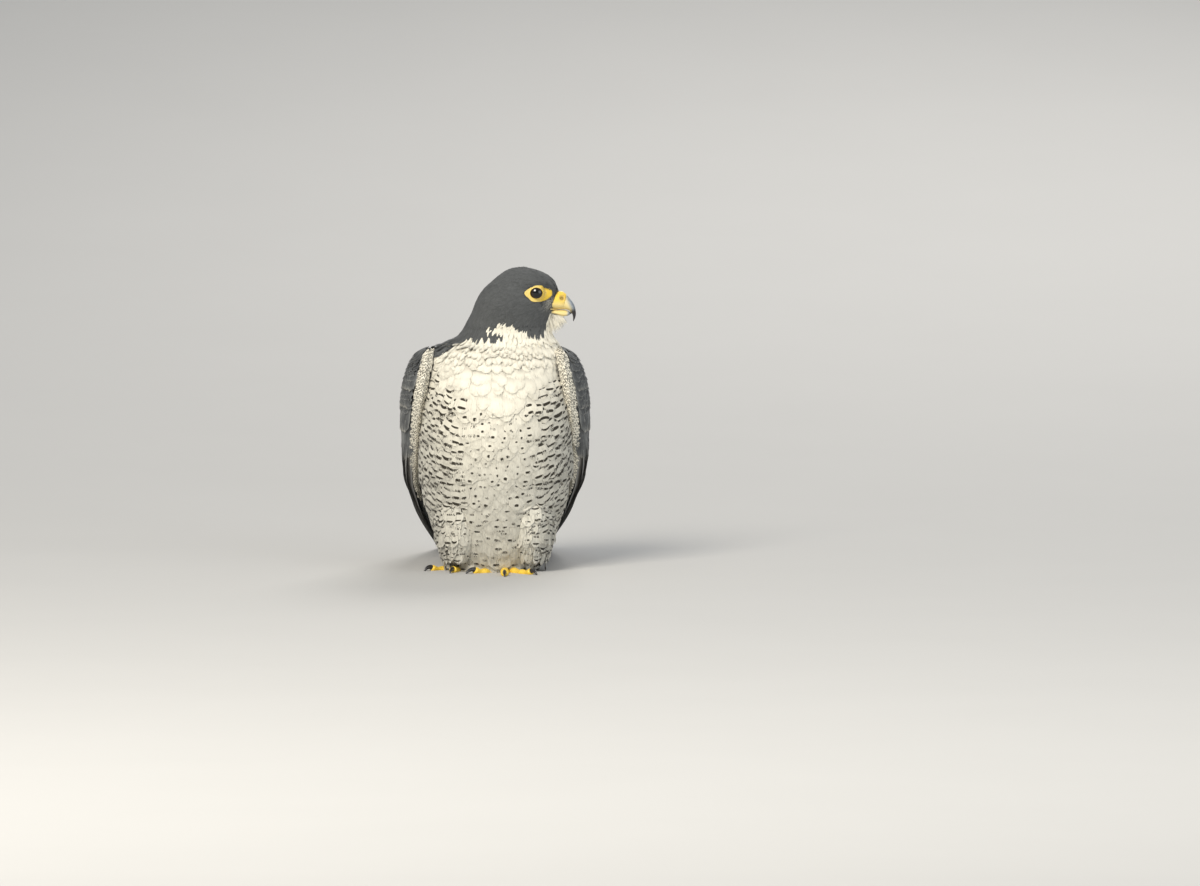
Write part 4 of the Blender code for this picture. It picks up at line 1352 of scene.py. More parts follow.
def head_lie(root):
    """Head feathers lie back from the bill over the crown and cheeks and turn down the neck."""
    x, y, z = root.T
    down = 0.30 + 1.5 * step(-z, -248.0, -214.0) + 0.5 * step(-x, -10.0, 14.0)
    front = step(x, 40.0, 54.0) * step(-z, -240.0, -228.0)
    return np.stack([-1.0 + 0.85 * step(-z, -236.0, -212.0) + 0.5 * front, 0.0 * x, -down], axis=1)


def make_head_coat():
    """Short feathers of the head and neck, smallest round the bill and eyes."""
    size = look()
    finish = soft_finish()
    row = size.head_row / MM
    bands = (
        ("throat_coat", 200.0, 213.0, 2.9, 13.5, 4.6, 14),
        ("neck_coat", 213.0, 231.0, 1.6, 9.5, 2.5, 0),
        ("head_coat", 231.0, 276.2, 1.0, 6.6, 1.75, 0),
    )
    for index, (label, low, high, coarse, long, broad, barbs) in enumerate(bands):
        rng = np.random.default_rng(51 + index)
        gap = row * coarse
        u, v = lay_rows(body_surface, low, high, 0.0, 2.0 * np.pi, gap, 1.1 * row * coarse, rng, 0.4, 9)
        root = body_surface(u, v)
        x, y, z = root.T
        side = np.abs(y - HEAD_MIDDLE_Y)
        on_side = side > 8.0
        near_bill = (x > 52.0) & (z > 231.0) & (z < 255.0 - 0.2 * side) & (side < 9.0)
        keep = ~(in_orbit(x, z, 0.1) & on_side) & ~near_bill
        u, v, root = u[keep], v[keep], root[keep]
        x, y, z = root.T
        number = len(u)
        side = np.abs(y - HEAD_MIDDLE_Y)
        face = bump(np.hypot(x - 51.0, (z - 249.0) * 0.9), 0.0, 15.0)
        size_now = long + (9.5 - long) * step(-z, -244.0, -231.0) * (low > 230.0)
        length = size_now * (1.0 - 0.55 * face) * rng.uniform(0.85, 1.15, number)
        length = length * (1.0 - 0.55 * step(z, 270.0, 276.0))
        before_eye = (x > EYE_X + 5.0) & in_orbit(x, z, 5.0) & (side > 8.0)
        length = np.where(before_eye, 2.0, length)
        width = (broad + (2.5 - broad) * step(-z, -244.0, -231.0) * (low > 230.0)) * (1.0 - 0.35 * face)
        width = width * rng.uniform(0.85, 1.2, number)
        lie = lean(head_lie(root), rng, 0.09)
        away = np.stack([x - EYE_X, 0.0 * x, z - EYE_HEIGHT], axis=1)
        lie = np.where(before_eye[:, None], unit(away) * 0.5 + [0.2, 0.0, -0.8], lie)
        depth = np.full(number, 0.55 + 0.5 * (low < 205.0))
        rise = depth + 0.10 + rng.uniform(0.0, 0.2, number) - 0.2 * step(z, 268.0, 275.0)
        tract = short_tract(body_surface, u, v, lie, length, width, depth, rise, body_shape, rows=5,
                            bend_limit=0.09, puff=lambda place: relief(*place.T))
        tract["patch"] = patch_place(u, v, low, high, 0.0, 2.0 * np.pi)
        slate = hood_share(tract["spine"][:, 3], rng)
        middle = tract["spine"][:, 2]
        # Feathers just over the eye are darkened as painted shade under the brow ridge.
        brow_shade = bump(middle[:, 2], EYE_HEIGHT + 7.2, 2.6) * bump(middle[:, 0], 42.0, 12.0) * (side > 8.0)
        lores = bump(x, 50.0, 4.0) * bump(z, 245.5, 4.5) * (side > 6.0)
        tone = 0.25 + 0.6 * rng.random(number) - 0.75 * brow_shade
        tract["mark"] = np.tile([0.0, 0.0, 0.0, 0.5], (number, 1))
        tract["hue"] = channels(np.clip(tone, 0, 1), slate * (1.0 - 0.45 * lores), 0.9 * lores,
                                0.15 + 0.15 * rng.random(number))
        tract["thickness"] = 0.12
        tract["camber"] = 0.22
        plumage_piece(label, tract, finish)
        if barbs:
            soft = frayed(tract, barbs, rng, first=0.55, spill=0.08, wide=0.65, lift=0.2)
            plumage_piece(label + "_barbs", soft, finish)


def make_chin_bristles():
    """White hair-like feathers that fan forward and down from the chin."""
    rng = np.random.default_rng(71)
    number = 560
    t = rng.random(number) ** 0.8
    root_x = 46.0 + 13.0 * t
    root_z = 233.5 + 0.5 * t - 9.0 * (1.0 - t) * rng.random(number)
    root_y = HEAD_MIDDLE_Y + rng.uniform(-1.0, 1.0, number) * (8.0 - 4.0 * t)
    root = np.stack([root_x, root_y, root_z], axis=1)
    lean_out = rng.uniform(-0.3, 0.3, number)
    lie = unit(np.stack([0.10 + 0.62 * t + rng.normal(0, 0.08, number), lean_out,
                         -1.0 + 0.15 * t + 0.0 * lean_out], axis=1))
    length = rng.uniform(7.0, 14.5, number) * (1.0 - 0.30 * t)
    s = even_shares(6)
    run = length[:, None] * s
    spine = root[:, None] + lie[:, None] * run[..., None]
    spine[:, :, 2] -= 0.012 * run**2
    normal = unit(np.stack([0.3 + 0.0 * t, np.sign(root_y - HEAD_MIDDLE_Y) + 0.01, 0.0 * t], axis=1))
    normal = unit(normal - np.sum(normal * lie, axis=1, keepdims=True) * lie)
    tract = {
        "spine": spine,
        "normal": np.repeat(normal[:, None], 6, axis=1),
        "half": rng.uniform(0.16, 0.36, number)[:, None] * bristle_shape(s)[None, :],
        "patch": np.stack([0.05 + 0.9 * t, 0.05 + 0.9 * rng.random(number)], axis=1),
        "mark": np.tile([0.0, 0.0, 0.0, 0.5], (number, 1)),
        "hue": channels(0.6 + 0.4 * rng.random(number), 0.0, 0.0, 0.0),
        "thickness": 0.3,
        "camber": 0.0,
    }
    finish = soft_finish()
    plumage_piece("chin_bristles", tract, finish)


def make_mantle():
    """Back feathers between the wings, from the nape to the rump and over the tail's root."""
    finish = covert_finish()
    rng = np.random.default_rng(81)
    low, high, first, last = 66.0, 212.0, 0.04 * np.pi, 0.96 * np.pi
    u, v = lay_rows(body_surface, low, high, first, last, 7.2, 8.2, rng)
    root = body_surface(u, v)
    number = len(u)
    z = root[:, 2]
    lie = lean(np.tile([0.0, 0.9, -1.0], (number, 1)), rng, 0.05)
    length = (18.0 + 10.0 * step(-z, -200.0, -120.0)) * rng.uniform(0.92, 1.1, number)
    tract = short_tract(body_surface, u, v, lie, length, 0.66 * length, np.full(number, 1.4),
                        1.7 + rng.uniform(-0.2, 0.3, number), blunt_shape, rows=6, bend_limit=0.012)
    tract["patch"] = patch_place(u, v, low, high, first, last)
    rump = step(-z, -120.0, -90.0)
    tract["mark"] = channels(0.35 + 0.45 * rump, 0.14, 0.0, 0.25)
    tract["hue"] = channels(rng.random(number), 0.15, 0.5, 0.0)
    tract["across"] = 5
    coat_pieces("mantle_coat", "mantle_barbs", tract, finish, "wing_plumage", 12, rng,
                first=0.35, spill=0.03, wide=0.9, lift=0.12, round_off=0.22)


def wing_group_tract(side_name, rng, start, end, width, lift_start, lift_end, shape, rows, mark, hue):
    """Feathers on the wing's outer face between two pairs of height and place, with their looks."""
    surface = wing_surface(side_name)
    number = len(start)
    tract = long_tract(surface, start, end, width, lift_start, lift_end, shape, rows,
                       toward=(SIDES[side_name], 0.0, 0.25))
    tract["mark"] = np.broadcast_to(np.asarray(mark, float), (number, 4)).copy()
    tract["hue"] = np.broadcast_to(np.asarray(hue, float), (number, 4)).copy()
    tract["hue"][:, 0] = rng.random(number)
    tract["patch"] = 0.02 + 0.96 * np.stack([np.clip(start[:, 1], 0, 1), start[:, 0] / 215.0], axis=1)
    return tract


def along_path(number, first, last):
    """Evenly spaced pairs of height and place between two pairs."""
    share = even_shares(number)[:, None]
    return np.array(first) + (np.array(last) - np.array(first)) * share


def make_wing(side_name):
    """Flight feathers, coverts and the pale leading edge of one folded wing.

    Primaries lie lowest, the outermost undermost; secondaries, then rows of coverts, lie over them.
    """
    finish = covert_finish()
    rng = np.random.default_rng(100 if side_name == "left" else 200)

    primaries = wing_group_tract(
        side_name, rng, along_path(9, (152.0, 0.10), (120.0, 0.55)),
        np.array([(10.0, 0.30), (4.0, 0.50), (9.0, 0.66), (18.5, 0.74), (29.0, 0.80), (40.0, 0.84),
                  (50.0, 0.88), (59.0, 0.91), (67.0, 0.93)]),
        np.array([15.0, 17.0, 18.0, 19.0, 20.0, 20.0, 20.0, 20.0, 20.0]),
        np.linspace(-1.4, -0.6, 9), np.linspace(0.0, 0.9, 9), quill_shape, 22,
        (0.30, 0.55, 0.0, 0.5), (0.75, 0.75, 0.75, 0.0))
    secondaries = wing_group_tract(
        side_name, rng, along_path(11, (165.0, 0.28), (168.0, 0.90)),
        along_path(11, (66.0, 0.80), (96.0, 0.985)), np.full(11, 22.0),
        np.linspace(-0.9, -0.2, 11), np.linspace(0.8, 1.5, 11), quill_shape, 22,
        (0.45, 0.42, 0.0, 0.8), (0.5, 0.25, 0.6, 0.0))
    for tract, count in ((primaries, 9), (secondaries, 11)):
        lanes = np.arange(count)
        tract["patch"] = np.stack([0.03 + 0.045 * lanes, np.full(count, 0.3)], axis=1)
        tract["patch_size"] = (0.036, 0.5)
        tract["across"] = 7
        tract["thickness"] = 0.5
        tract["camber"] = 0.08
    secondaries["patch"][:, 0] += 0.46
    plumage_piece("flight_feathers_" + side_name, joined([primaries, secondaries]), finish)

    rows = []
    # Each row of coverts: count, first and last root, first and last end, width, lift at end, pale edge
    for count, root_a, root_b, end_a, end_b, wide, lift, edge in (
            (11, (158.0, 0.07), (150.0, 0.22), (104.0, 0.08), (96.0, 0.42), 10.0, 0.5, 0.4),
            (15, (182.0, 0.11), (186.0, 0.94), (128.0, 0.17), (136.0, 0.985), 14.0, 1.2, 0.6),
            (16, (194.0, 0.10), (196.0, 0.93), (150.0, 0.14), (160.0, 0.97), 13.0, 1.4, 0.6),
            (17, (200.0, 0.10), (202.0, 0.92), (166.0, 0.12), (176.0, 0.95), 12.0, 1.5, 0.6)):
        rows.append(wing_group_tract(
            side_name, rng, along_path(count, root_a, root_b), along_path(count, end_a, end_b),
            np.full(count, wide), np.full(count, -1.2), lift + rng.uniform(-0.15, 0.15, count),
            blunt_shape, 10, (0.25, 0.2, 0.0, 0.35), (0.5, 0.12, edge, 0.0)))
        rows[-1]["across"] = 5
        rows[-1]["patch"] += rng.uniform(-0.01, 0.01, rows[-1]["patch"].shape)
    coverts = joined(rows)
    coat_pieces("great_coverts_" + side_name, "great_barbs_" + side_name, coverts, finish, "wing_plumage",
                14, rng, first=0.16, spill=0.012, wide=0.9, lift=0.1, round_off=0.12)

    surface = wing_surface(side_name)
    u, v = lay_rows(surface, 150.0, 205.0, 0.10, 0.97, 4.6, 5.4, rng)
    number = len(u)
    length = np.full(number, 13.0) * rng.uniform(0.9, 1.1, number)
    drop = length * 0.80
    small = wing_group_tract(
        side_name, rng, np.stack([u, v], axis=1), np.stack([u - drop, v + 0.01], axis=1),
        0.64 * length, np.full(number, -1.2), 1.7 + rng.uniform(-0.2, 0.3, number), blunt_shape, 6,
        (0.1, 0.1, 0.0, 0.15), (0.5, 0.08, 0.5, 0.0))
    keep = u > 150.0 + 26.0 * v
    small = {key: value[keep] for key, value in small.items()}
    small["camber"] = 0.16
    coat_pieces("small_coverts_" + side_name, "small_barbs_" + side_name, small, finish, "wing_plumage",
                9, rng, first=0.4, spill=0.05, wide=0.8, lift=0.12, round_off=0.25)

    u, v = lay_rows(surface, 100.0, 204.0, 0.74, 1.0, 10.0, 10.5, rng, 0.2, 2)
    number = len(u)
    length = (22.0 + 10.0 * step(-u, -190.0, -120.0)) * rng.uniform(0.92, 1.1, number)
    scapulars = wing_group_tract(
        side_name, rng, np.stack([u, v], axis=1), np.stack([u - 0.8 * length, v], axis=1),
        0.6 * length, np.full(number, -0.2), 2.3 + rng.uniform(-0.3, 0.5, number), blunt_shape, 9,
        (0.4, 0.16, 0.0, 0.4), (0.5, 0.12, 0.5, 0.0))
    scapulars["across"] = 5
    coat_pieces("scapulars_" + side_name, "scapular_barbs_" + side_name, scapulars, finish, "wing_plumage",
                14, rng, first=0.25, spill=0.02, wide=0.9, lift=0.12, round_off=0.18)
    make_wing_edge(side_name, finish, rng)


def make_wing_edge(side_name, finish, rng):
    """White, finely barred feathers that wrap the leading edge of the folded wing.

    Their roots lie on the outer face for places above zero and on the lip, which runs inward
    square to it, for places below zero; the normal turns smoothly between the two.
    """
    surface = wing_surface(side_name)
    side = SIDES[side_name]

    def wrapped(height, place):
        """The outer face and the lip as one surface."""
        here = surface(height, np.maximum(place, 0.0))
        ahead = unit(surface(height, 0.0 * place) - surface(height, 0.04 + 0.0 * place))
        inward = unit(np.cross(ahead, np.cross(ahead, [side, 0.0, 0.0])))
        depth = 90.0 * np.clip(-place, 0.0, None) * np.clip(0.35 + (height - 70.0) / 150.0, 0.3, 1.0)
        return here + inward * depth[..., None]

    low, high = 66.0, 203.0
    u, v = lay_rows(wrapped, low, high, -0.085, 0.09, 3.4, 3.3, rng, 0.2, 3)
    taper = step(u, 60.0, 118.0)
    keep = v < 0.008 + 0.050 * taper
    u, v = u[keep], v[keep]
    number = len(u)
    length = 8.0 * rng.uniform(0.88, 1.12, number)
    s = even_shares(6)
    heights = u[:, None] - 0.86 * length[:, None] * s
    places = v[:, None] + 0.012 * s
    spine = wrapped(heights, places)
    outer = surface_normal(surface, heights, np.maximum(places, 0.001))
    outer = outer * np.where(np.sum(outer * [side, 0.0, 0.2], axis=-1, keepdims=True) < 0.0, -1.0, 1.0)
    ahead = unit(surface(heights, 0.0 * places) - surface(heights, 0.04 + 0.0 * places))
    turn = step(places, -0.020, 0.025)[..., None]
    normal = unit(outer * turn + ahead * (1.0 - turn))
    lift = -0.8 + (1.0 + rng.uniform(-0.1, 0.2, number))[:, None] * s
    tract = {
        "spine": spine + normal * lift[..., None],
        "normal": normal,
        "half": 0.5 * 4.8 * blunt_shape(s)[None, :] * np.ones((number, 1)),
        "patch": patch_place(u, v, low, high, -0.085, 0.09),
        "mark": np.tile([0.0, 0.0, 1.0, 0.0], (number, 1)),
        "hue": channels(0.5 + 0.5 * rng.random(number), 0.0, 0.0, 0.55 + 0.45 * rng.random(number)),
        "across": 5,
    }
    coat_pieces("leading_edge_" + side_name, "leading_barbs_" + side_name, tract, finish, "breast_plumage",
                8, rng, first=0.4, spill=0.05, wide=0.6, lift=0.1, round_off=0.2)


def make_tail():
    """Twelve tail feathers, the middle pair on top, and the coverts over their roots."""
    finish = covert_finish()
    rng = np.random.default_rng(301)
    tracts = []
    for side in (-1.0, 1.0):
        index = np.arange(6)
        base = side * (1.2 + 2.3 * index)
        tip = side * (4.2 + 4.35 * index)
        end = 0.997 - 0.0035 * index**1.6
        start = np.stack([np.zeros(6) + 0.02, base], axis=1)
        upper = side > 0
        tract = long_tract(tail_surface, start, np.stack([end, tip], axis=1), 17.5 - 0.3 * index,
                           -0.3 * index - 0.2 * upper, 1.0 - 0.34 * index - 0.17 * upper, tail_shape, 24)
        tract["mark"] = np.tile([0.75, 0.52, 0.0, 1.0], (6, 1))
        tract["hue"] = np.tile([0.5, 0.12, 0.35, 0.0], (6, 1))
        tract["hue"][:, 0] = rng.random(6)
        lanes = index + 6 * upper
        tract["patch"] = np.stack([0.05 + 0.08 * lanes, np.full(6, 0.5)], axis=1)
        tract["patch_size"] = (0.07, 0.9)
        tract["across"] = 7
        tract["thickness"] = 0.5
        tract["camber"] = 0.05
        tracts.append(tract)
    plumage_piece("tail_feathers", joined(tracts), finish)

    number = 46
    share = rng.random(number)
    base = np.stack([0.02 + 0.30 * share, rng.uniform(-1.0, 1.0, number) * (16.0 - 6.0 * share)], axis=1)
    end = np.stack([base[:, 0] + 0.19, base[:, 1] * 1.15], axis=1)
    coverts = long_tract(tail_surface, base, end, np.full(number, 13.0), np.full(number, 0.2),
                         1.4 + 2.0 * (1.0 - share), blunt_shape, 9)
    coverts["mark"] = np.tile([0.8, 0.16, 0.0, 0.4], (number, 1))
    coverts["hue"] = np.tile([0.6, 0.05, 0.5, 0.0], (number, 1))
    coverts["hue"][:, 0] = rng.random(number)
    coverts["patch"] = 0.05 + 0.9 * np.stack([0.5 + base[:, 1] / 40.0, share], axis=1)
    coverts["across"] = 5
    coat_pieces("tail_coverts", "tail_covert_barbs", coverts, finish, "tail_plumage", 14, rng,
                first=0.3, spill=0.03, wide=0.9, lift=0.15, round_off=0.2)


def bill_rings(stations, along, around, tooth=0.0):
    """Rings between the ridge and the edge of the bill.

    Stations are read with a smooth cubic in share of length. Each ring is an oval, narrower above,
    and the edge dips in a bell for the tooth near the tip.
    """
    keys = even_shares(len(stations))
    table = [(key, *row) for key, row in zip(keys, stations)]
    share = even_shares(along)
    rows = smooth_table(table, share)
    angle = full_turn(around)
    ridge = np.stack([rows[:, 0], np.full(along, HEAD_MIDDLE_Y), rows[:, 1]], axis=1)
    edge = np.stack([rows[:, 2], np.full(along, HEAD_MIDDLE_Y), rows[:, 3]], axis=1)
    edge[:, 2] -= tooth * (bump(share, 0.47, 0.07) - 0.8 * bump(share, 0.60, 0.06))
    centre = 0.5 * (ridge + edge)
    up = unit(ridge - edge)
    reach = np.linalg.norm(ridge - edge, axis=1)
    high = np.sin(angle)
    wide = np.cos(angle) * (1.0 - 0.22 * high)
    tall = np.sign(high) * np.abs(high) ** 0.85
    across = rows[:, 4][:, None, None] * wide[None, :, None] * np.array([0.0, 1.0, 0.0])
    return centre[:, None] + across + 0.5 * reach[:, None, None] * tall[None, :, None] * up[:, None]


def round_end(rings, amount, steps=5):
    """Adds shrinking rings beyond the last one, so that the end is rounded."""
    centre = rings[-1].mean(axis=0)
    ahead = unit(centre - rings[-2].mean(axis=0))
    extra = []
    for share in even_shares(steps + 1)[1:]:
        scale = math.sqrt(max(1.0 - share**2, 0.0)) * 0.98 + 0.02
        extra.append(centre + (rings[-1] - centre) * scale + ahead * amount * share)
    return np.concatenate([rings, np.array(extra)])


def make_bill():
    """The cere with its nostrils, the hooked upper bill with its tooth, and the lower bill."""
    size = look()
    cere = bill_rings(((46.0, 249.6, 46.5, 239.0, 5.6), *CERE_STATIONS), 56, 72)
    rows = len(cere)
    swell = 0.35 * np.sin(np.pi * even_shares(rows))[:, None, None]
    centre = cere.mean(axis=1, keepdims=True)
    outward = unit(cere - centre)
    x, z = cere[..., 0], cere[..., 2]
    gap = np.hypot(x - NOSTRIL[0], z - NOSTRIL[1])
    pit = bump(gap, 0.0, 0.60 * NOSTRIL_RADIUS)
    knob = bump(gap, 0.0, 0.20 * NOSTRIL_RADIUS)
    rim = bump(gap, 1.10 * NOSTRIL_RADIUS, 0.55)
    side = step(np.abs(outward[..., 1]), 0.35, 0.75)
    cere = cere + outward * (swell + (side * (-1.7 * pit + 1.1 * knob + 0.32 * rim))[..., None])
    # Near-black inside the nostril ring, lighter on the knob, is painted shade of the opening.
    dark = side * step(-gap, -0.80 * NOSTRIL_RADIUS, -0.35 * NOSTRIL_RADIUS)
    warm = side * step(-gap, -1.25 * NOSTRIL_RADIUS, -0.7 * NOSTRIL_RADIUS)
    pale = step(-z, -248.0, -241.0)
    marks = channels(0.55 * warm * (1.0 - dark), pale * 0.75, 0.85 * dark * (1.0 - 0.7 * knob), 1.0)
    yellow = finish_named("warm_cere", bare_skin_material, "warm_cere", size, 1500.0, 1.06)
    shell_piece("cere_skin", [cere], yellow, ("cere",), [marks])

    upper = bill_rings(UPPER_BILL_STATIONS, 60, 48, tooth=0.9)
    back = upper[:1] + 0.0
    back[..., 0] -= 0.8
    upper = round_end(np.concatenate([back, upper]), 0.5)
    x, z = upper[..., 0], upper[..., 2]
    black = step(-z, -241.0, -236.0) * step(x, 66.8, 69.6)
    ridge = 0.45 * step(even_shares(len(upper))[:, None] + 0.0 * x, 0.10, 0.5)
    ridge = ridge * step(upper[..., 2] - upper[..., 2].mean(axis=1, keepdims=True), 1.0, 3.5)
    yellow_part = 1.0 - step(x - 0.45 * (245.0 - z), 62.8, 68.6)
    marks = channels(np.clip(black + ridge, 0, 1), yellow_part, 0.0, 1.0)
    horn = finish_named("polished_bill", horn_material, "polished_bill", size)
    shell_piece("bill_hook", [upper], horn, ("bill_upper",), [marks])

    lower = round_end(bill_rings(LOWER_BILL_STATIONS, 40, 40), 0.6)
    x = lower[..., 0]
    marks = channels(0.8 * step(x, 65.5, 68.4), 1.0 - step(x, 63.5, 66.8), 0.0, 1.0)
    shell_piece("bill_mandible", [lower], horn, ("bill_lower",), [marks])

    shells = []
    marks = []
    for side in (-1.0, 1.0):
        s = even_shares(20)
        x = 49.6 + 6.0 * s
        z = 238.8 - 1.0 * s
        share = step(s, 0.5, 1.0)
        y = head_side(x, z, side) * (1.0 - share) + share * (HEAD_MIDDLE_Y + side * 5.2)
        path = np.stack([x, y + side * (0.1 - 0.3 * s), z], axis=1)
        thick = 0.80 * np.sqrt(np.clip(1.0 - (1.0 - s) ** 4, 0.03, 1.0))
        rings = tube(path, thick, 0.9 * thick, full_turn(16))
        shells.append(rings)
        marks.append(plain_marks(rings, (0.45, 0.55, 0.0, 1.0)))
    shell_piece("gape_corners", shells, yellow, (), marks)


def head_side(x, z, side):
    """The head's surface on one side, at a given x and z, with the face's relief.

    Solves the level ellipse for the angle with the given x and reads y there.
    """
    right, left, front, back, narrowing = smooth_table(BODY_OUTLINE, z.ravel()).T.reshape(5, *z.shape)
    across = np.clip((x - 0.5 * (left + right)) / (0.5 * (left - right)), -1.0, 1.0)
    along = side * np.sqrt(1.0 - across**2)
    y = 0.5 * (front + back) + 0.5 * (back - front) * along * (1.0 - narrowing * across)
    return y + side * relief(x, y, z)


def make_eyes():
    """Glossy eyes, and the bare yellow skin and lids round them.

    The lid is a ring grid: its inner edge stands on the eyeball, it rises to a rim, and it falls
    to the head's surface at an almond outline, never under the ball.
    """
    size = look()
    wet = finish_named("wet_eye", eye_material)
    yellow = finish_named("bare_orbit_skin", bare_skin_material, "bare_orbit_skin", size, 1900.0, 1.08)
    for side_name, side in SIDES.items():
        middle = np.array([EYE_X, HEAD_MIDDLE_Y + side * EYE_SPREAD, EYE_HEIGHT])
        facing = unit(np.array([0.10, side, 0.0]))
        level = np.linspace(-0.5 * np.pi, 0.5 * np.pi, 41)[1:-1]
        around = full_turn(48)
        first = unit(np.cross(facing, [0.0, 0.0, 1.0]))
        second = np.cross(facing, first)
        flat = np.cos(level)[:, None, None] * (np.cos(around)[None, :, None] * first
                                               + np.sin(around)[None, :, None] * second)
        ball = middle + EYE_RADIUS * (flat + np.sin(level)[:, None, None] * facing)
        pupil = step(level, 0.5 * np.pi - 0.52, 0.5 * np.pi - 0.44)[:, None] + 0.0 * ball[..., 0]
        marks = channels(pupil, 0.0, 0.0, 1.0)
        shell_piece("eyeball_" + side_name, [ball], wet, ("eye_" + side_name,), [marks])

        angle = full_turn(96)[None, :]
        w = even_shares(24)[:, None]
        inner = 1.0 / np.sqrt((np.cos(angle) / LID_OPENING[0]) ** 2 + (np.sin(angle) / LID_OPENING[1]) ** 2)
        outer = orbit_outline(angle) + 0.9
        reach = inner + (outer - inner) * w
        x = EYE_X + reach * np.cos(angle)
        z = EYE_HEIGHT + reach * np.sin(angle)
        on_head = side * (head_side(x, z, side) - HEAD_MIDDLE_Y) + 0.10
        on_ball = EYE_SPREAD + np.sqrt(np.maximum(EYE_RADIUS**2 - reach**2, 0.0)) + 0.30
        on_ball = np.where(reach < EYE_RADIUS, on_ball, EYE_SPREAD - 3.0 * (reach - EYE_RADIUS))
        soften = 0.8
        high = np.maximum(on_head, on_ball)
        y = high + soften * np.log1p(np.exp(-np.abs(on_head - on_ball) / soften)) - 0.25
        rim = 0.35 * bump(reach, inner + 0.75, 0.55)
        y = y + rim - 0.9 * step(w, 0.88, 1.0)
        y = np.where(w == 0.0, on_ball - 0.55, y)
        top = np.stack([x, HEAD_MIDDLE_Y + side * y, z], axis=-1)
        under = top[::-1] - np.array([0.0, side * 0.5, 0.0])
        edge = bump(reach, inner, 0.40)
        # A brown line at the lid's fold, in front of and behind the eye, is painted shade of a crease.
        fold_shade = 0.30 * bump(reach, inner + 1.7, 0.25) * step(np.abs(np.cos(angle)), 0.2, 0.7)
        ahead = step(np.cos(angle) + 0.0 * w, 0.1, 0.8) * step(w, 0.25, 0.5)
        pale = 0.42 * (1.0 - ahead) * step(w, 0.0, 0.3)
        tint = channels(0.5 * fold_shade, pale, 0.9 * edge, 1.0)
        marks = np.concatenate([tint, tint[::-1]])
        shell_piece("eyelid_" + side_name, [np.concatenate([top, under])], yellow, (), [marks])


def tube(path, wide, high, angle):
    """Oval rings square to a path, level across it, with a point at each given angle."""
    along = unit(np.gradient(path, axis=0))
    flat = path[-1] - path[0]
    side = np.array([-flat[1], flat[0], 0.0])
    side = side / np.linalg.norm(side)
    up = np.cross(along, side)
    ring_wide = np.cos(angle)[None, :, None] * np.asarray(wide).reshape(len(path), -1, 1)
    ring_high = np.sin(angle)[None, :, None] * np.asarray(high).reshape(len(path), -1, 1)
    return path[:, None] + ring_wide * side + ring_high * up[:, None]


def full_turn(count):
    """Evenly spaced angles round a circle."""
    return np.linspace(0.0, 2.0 * np.pi, count, endpoint=False)


def toe_line(side_name, toe, count):
    """A toe's middle line and half thickness, with low arches over the pads."""
    length, root, end = TOES[toe]
    turn = math.radians(TOE_TURNS[side_name][toe])
    heading = np.array([math.sin(turn), -math.cos(turn), 0.0])
    t = even_shares(count)
    radius = (root + (end - root) * t) * (1.0 + 0.09 * np.cos(6.0 * np.pi * t))
    path = np.array([*FOOT_PLACE[side_name], 0.0]) + heading * (TOE_START + length * t)[:, None]
    path[:, 2] = 0.84 * radius + 1.6 * (1.0 - t) ** 2 + TOE_END_LIFT * t**5
    return path, radius, heading, t


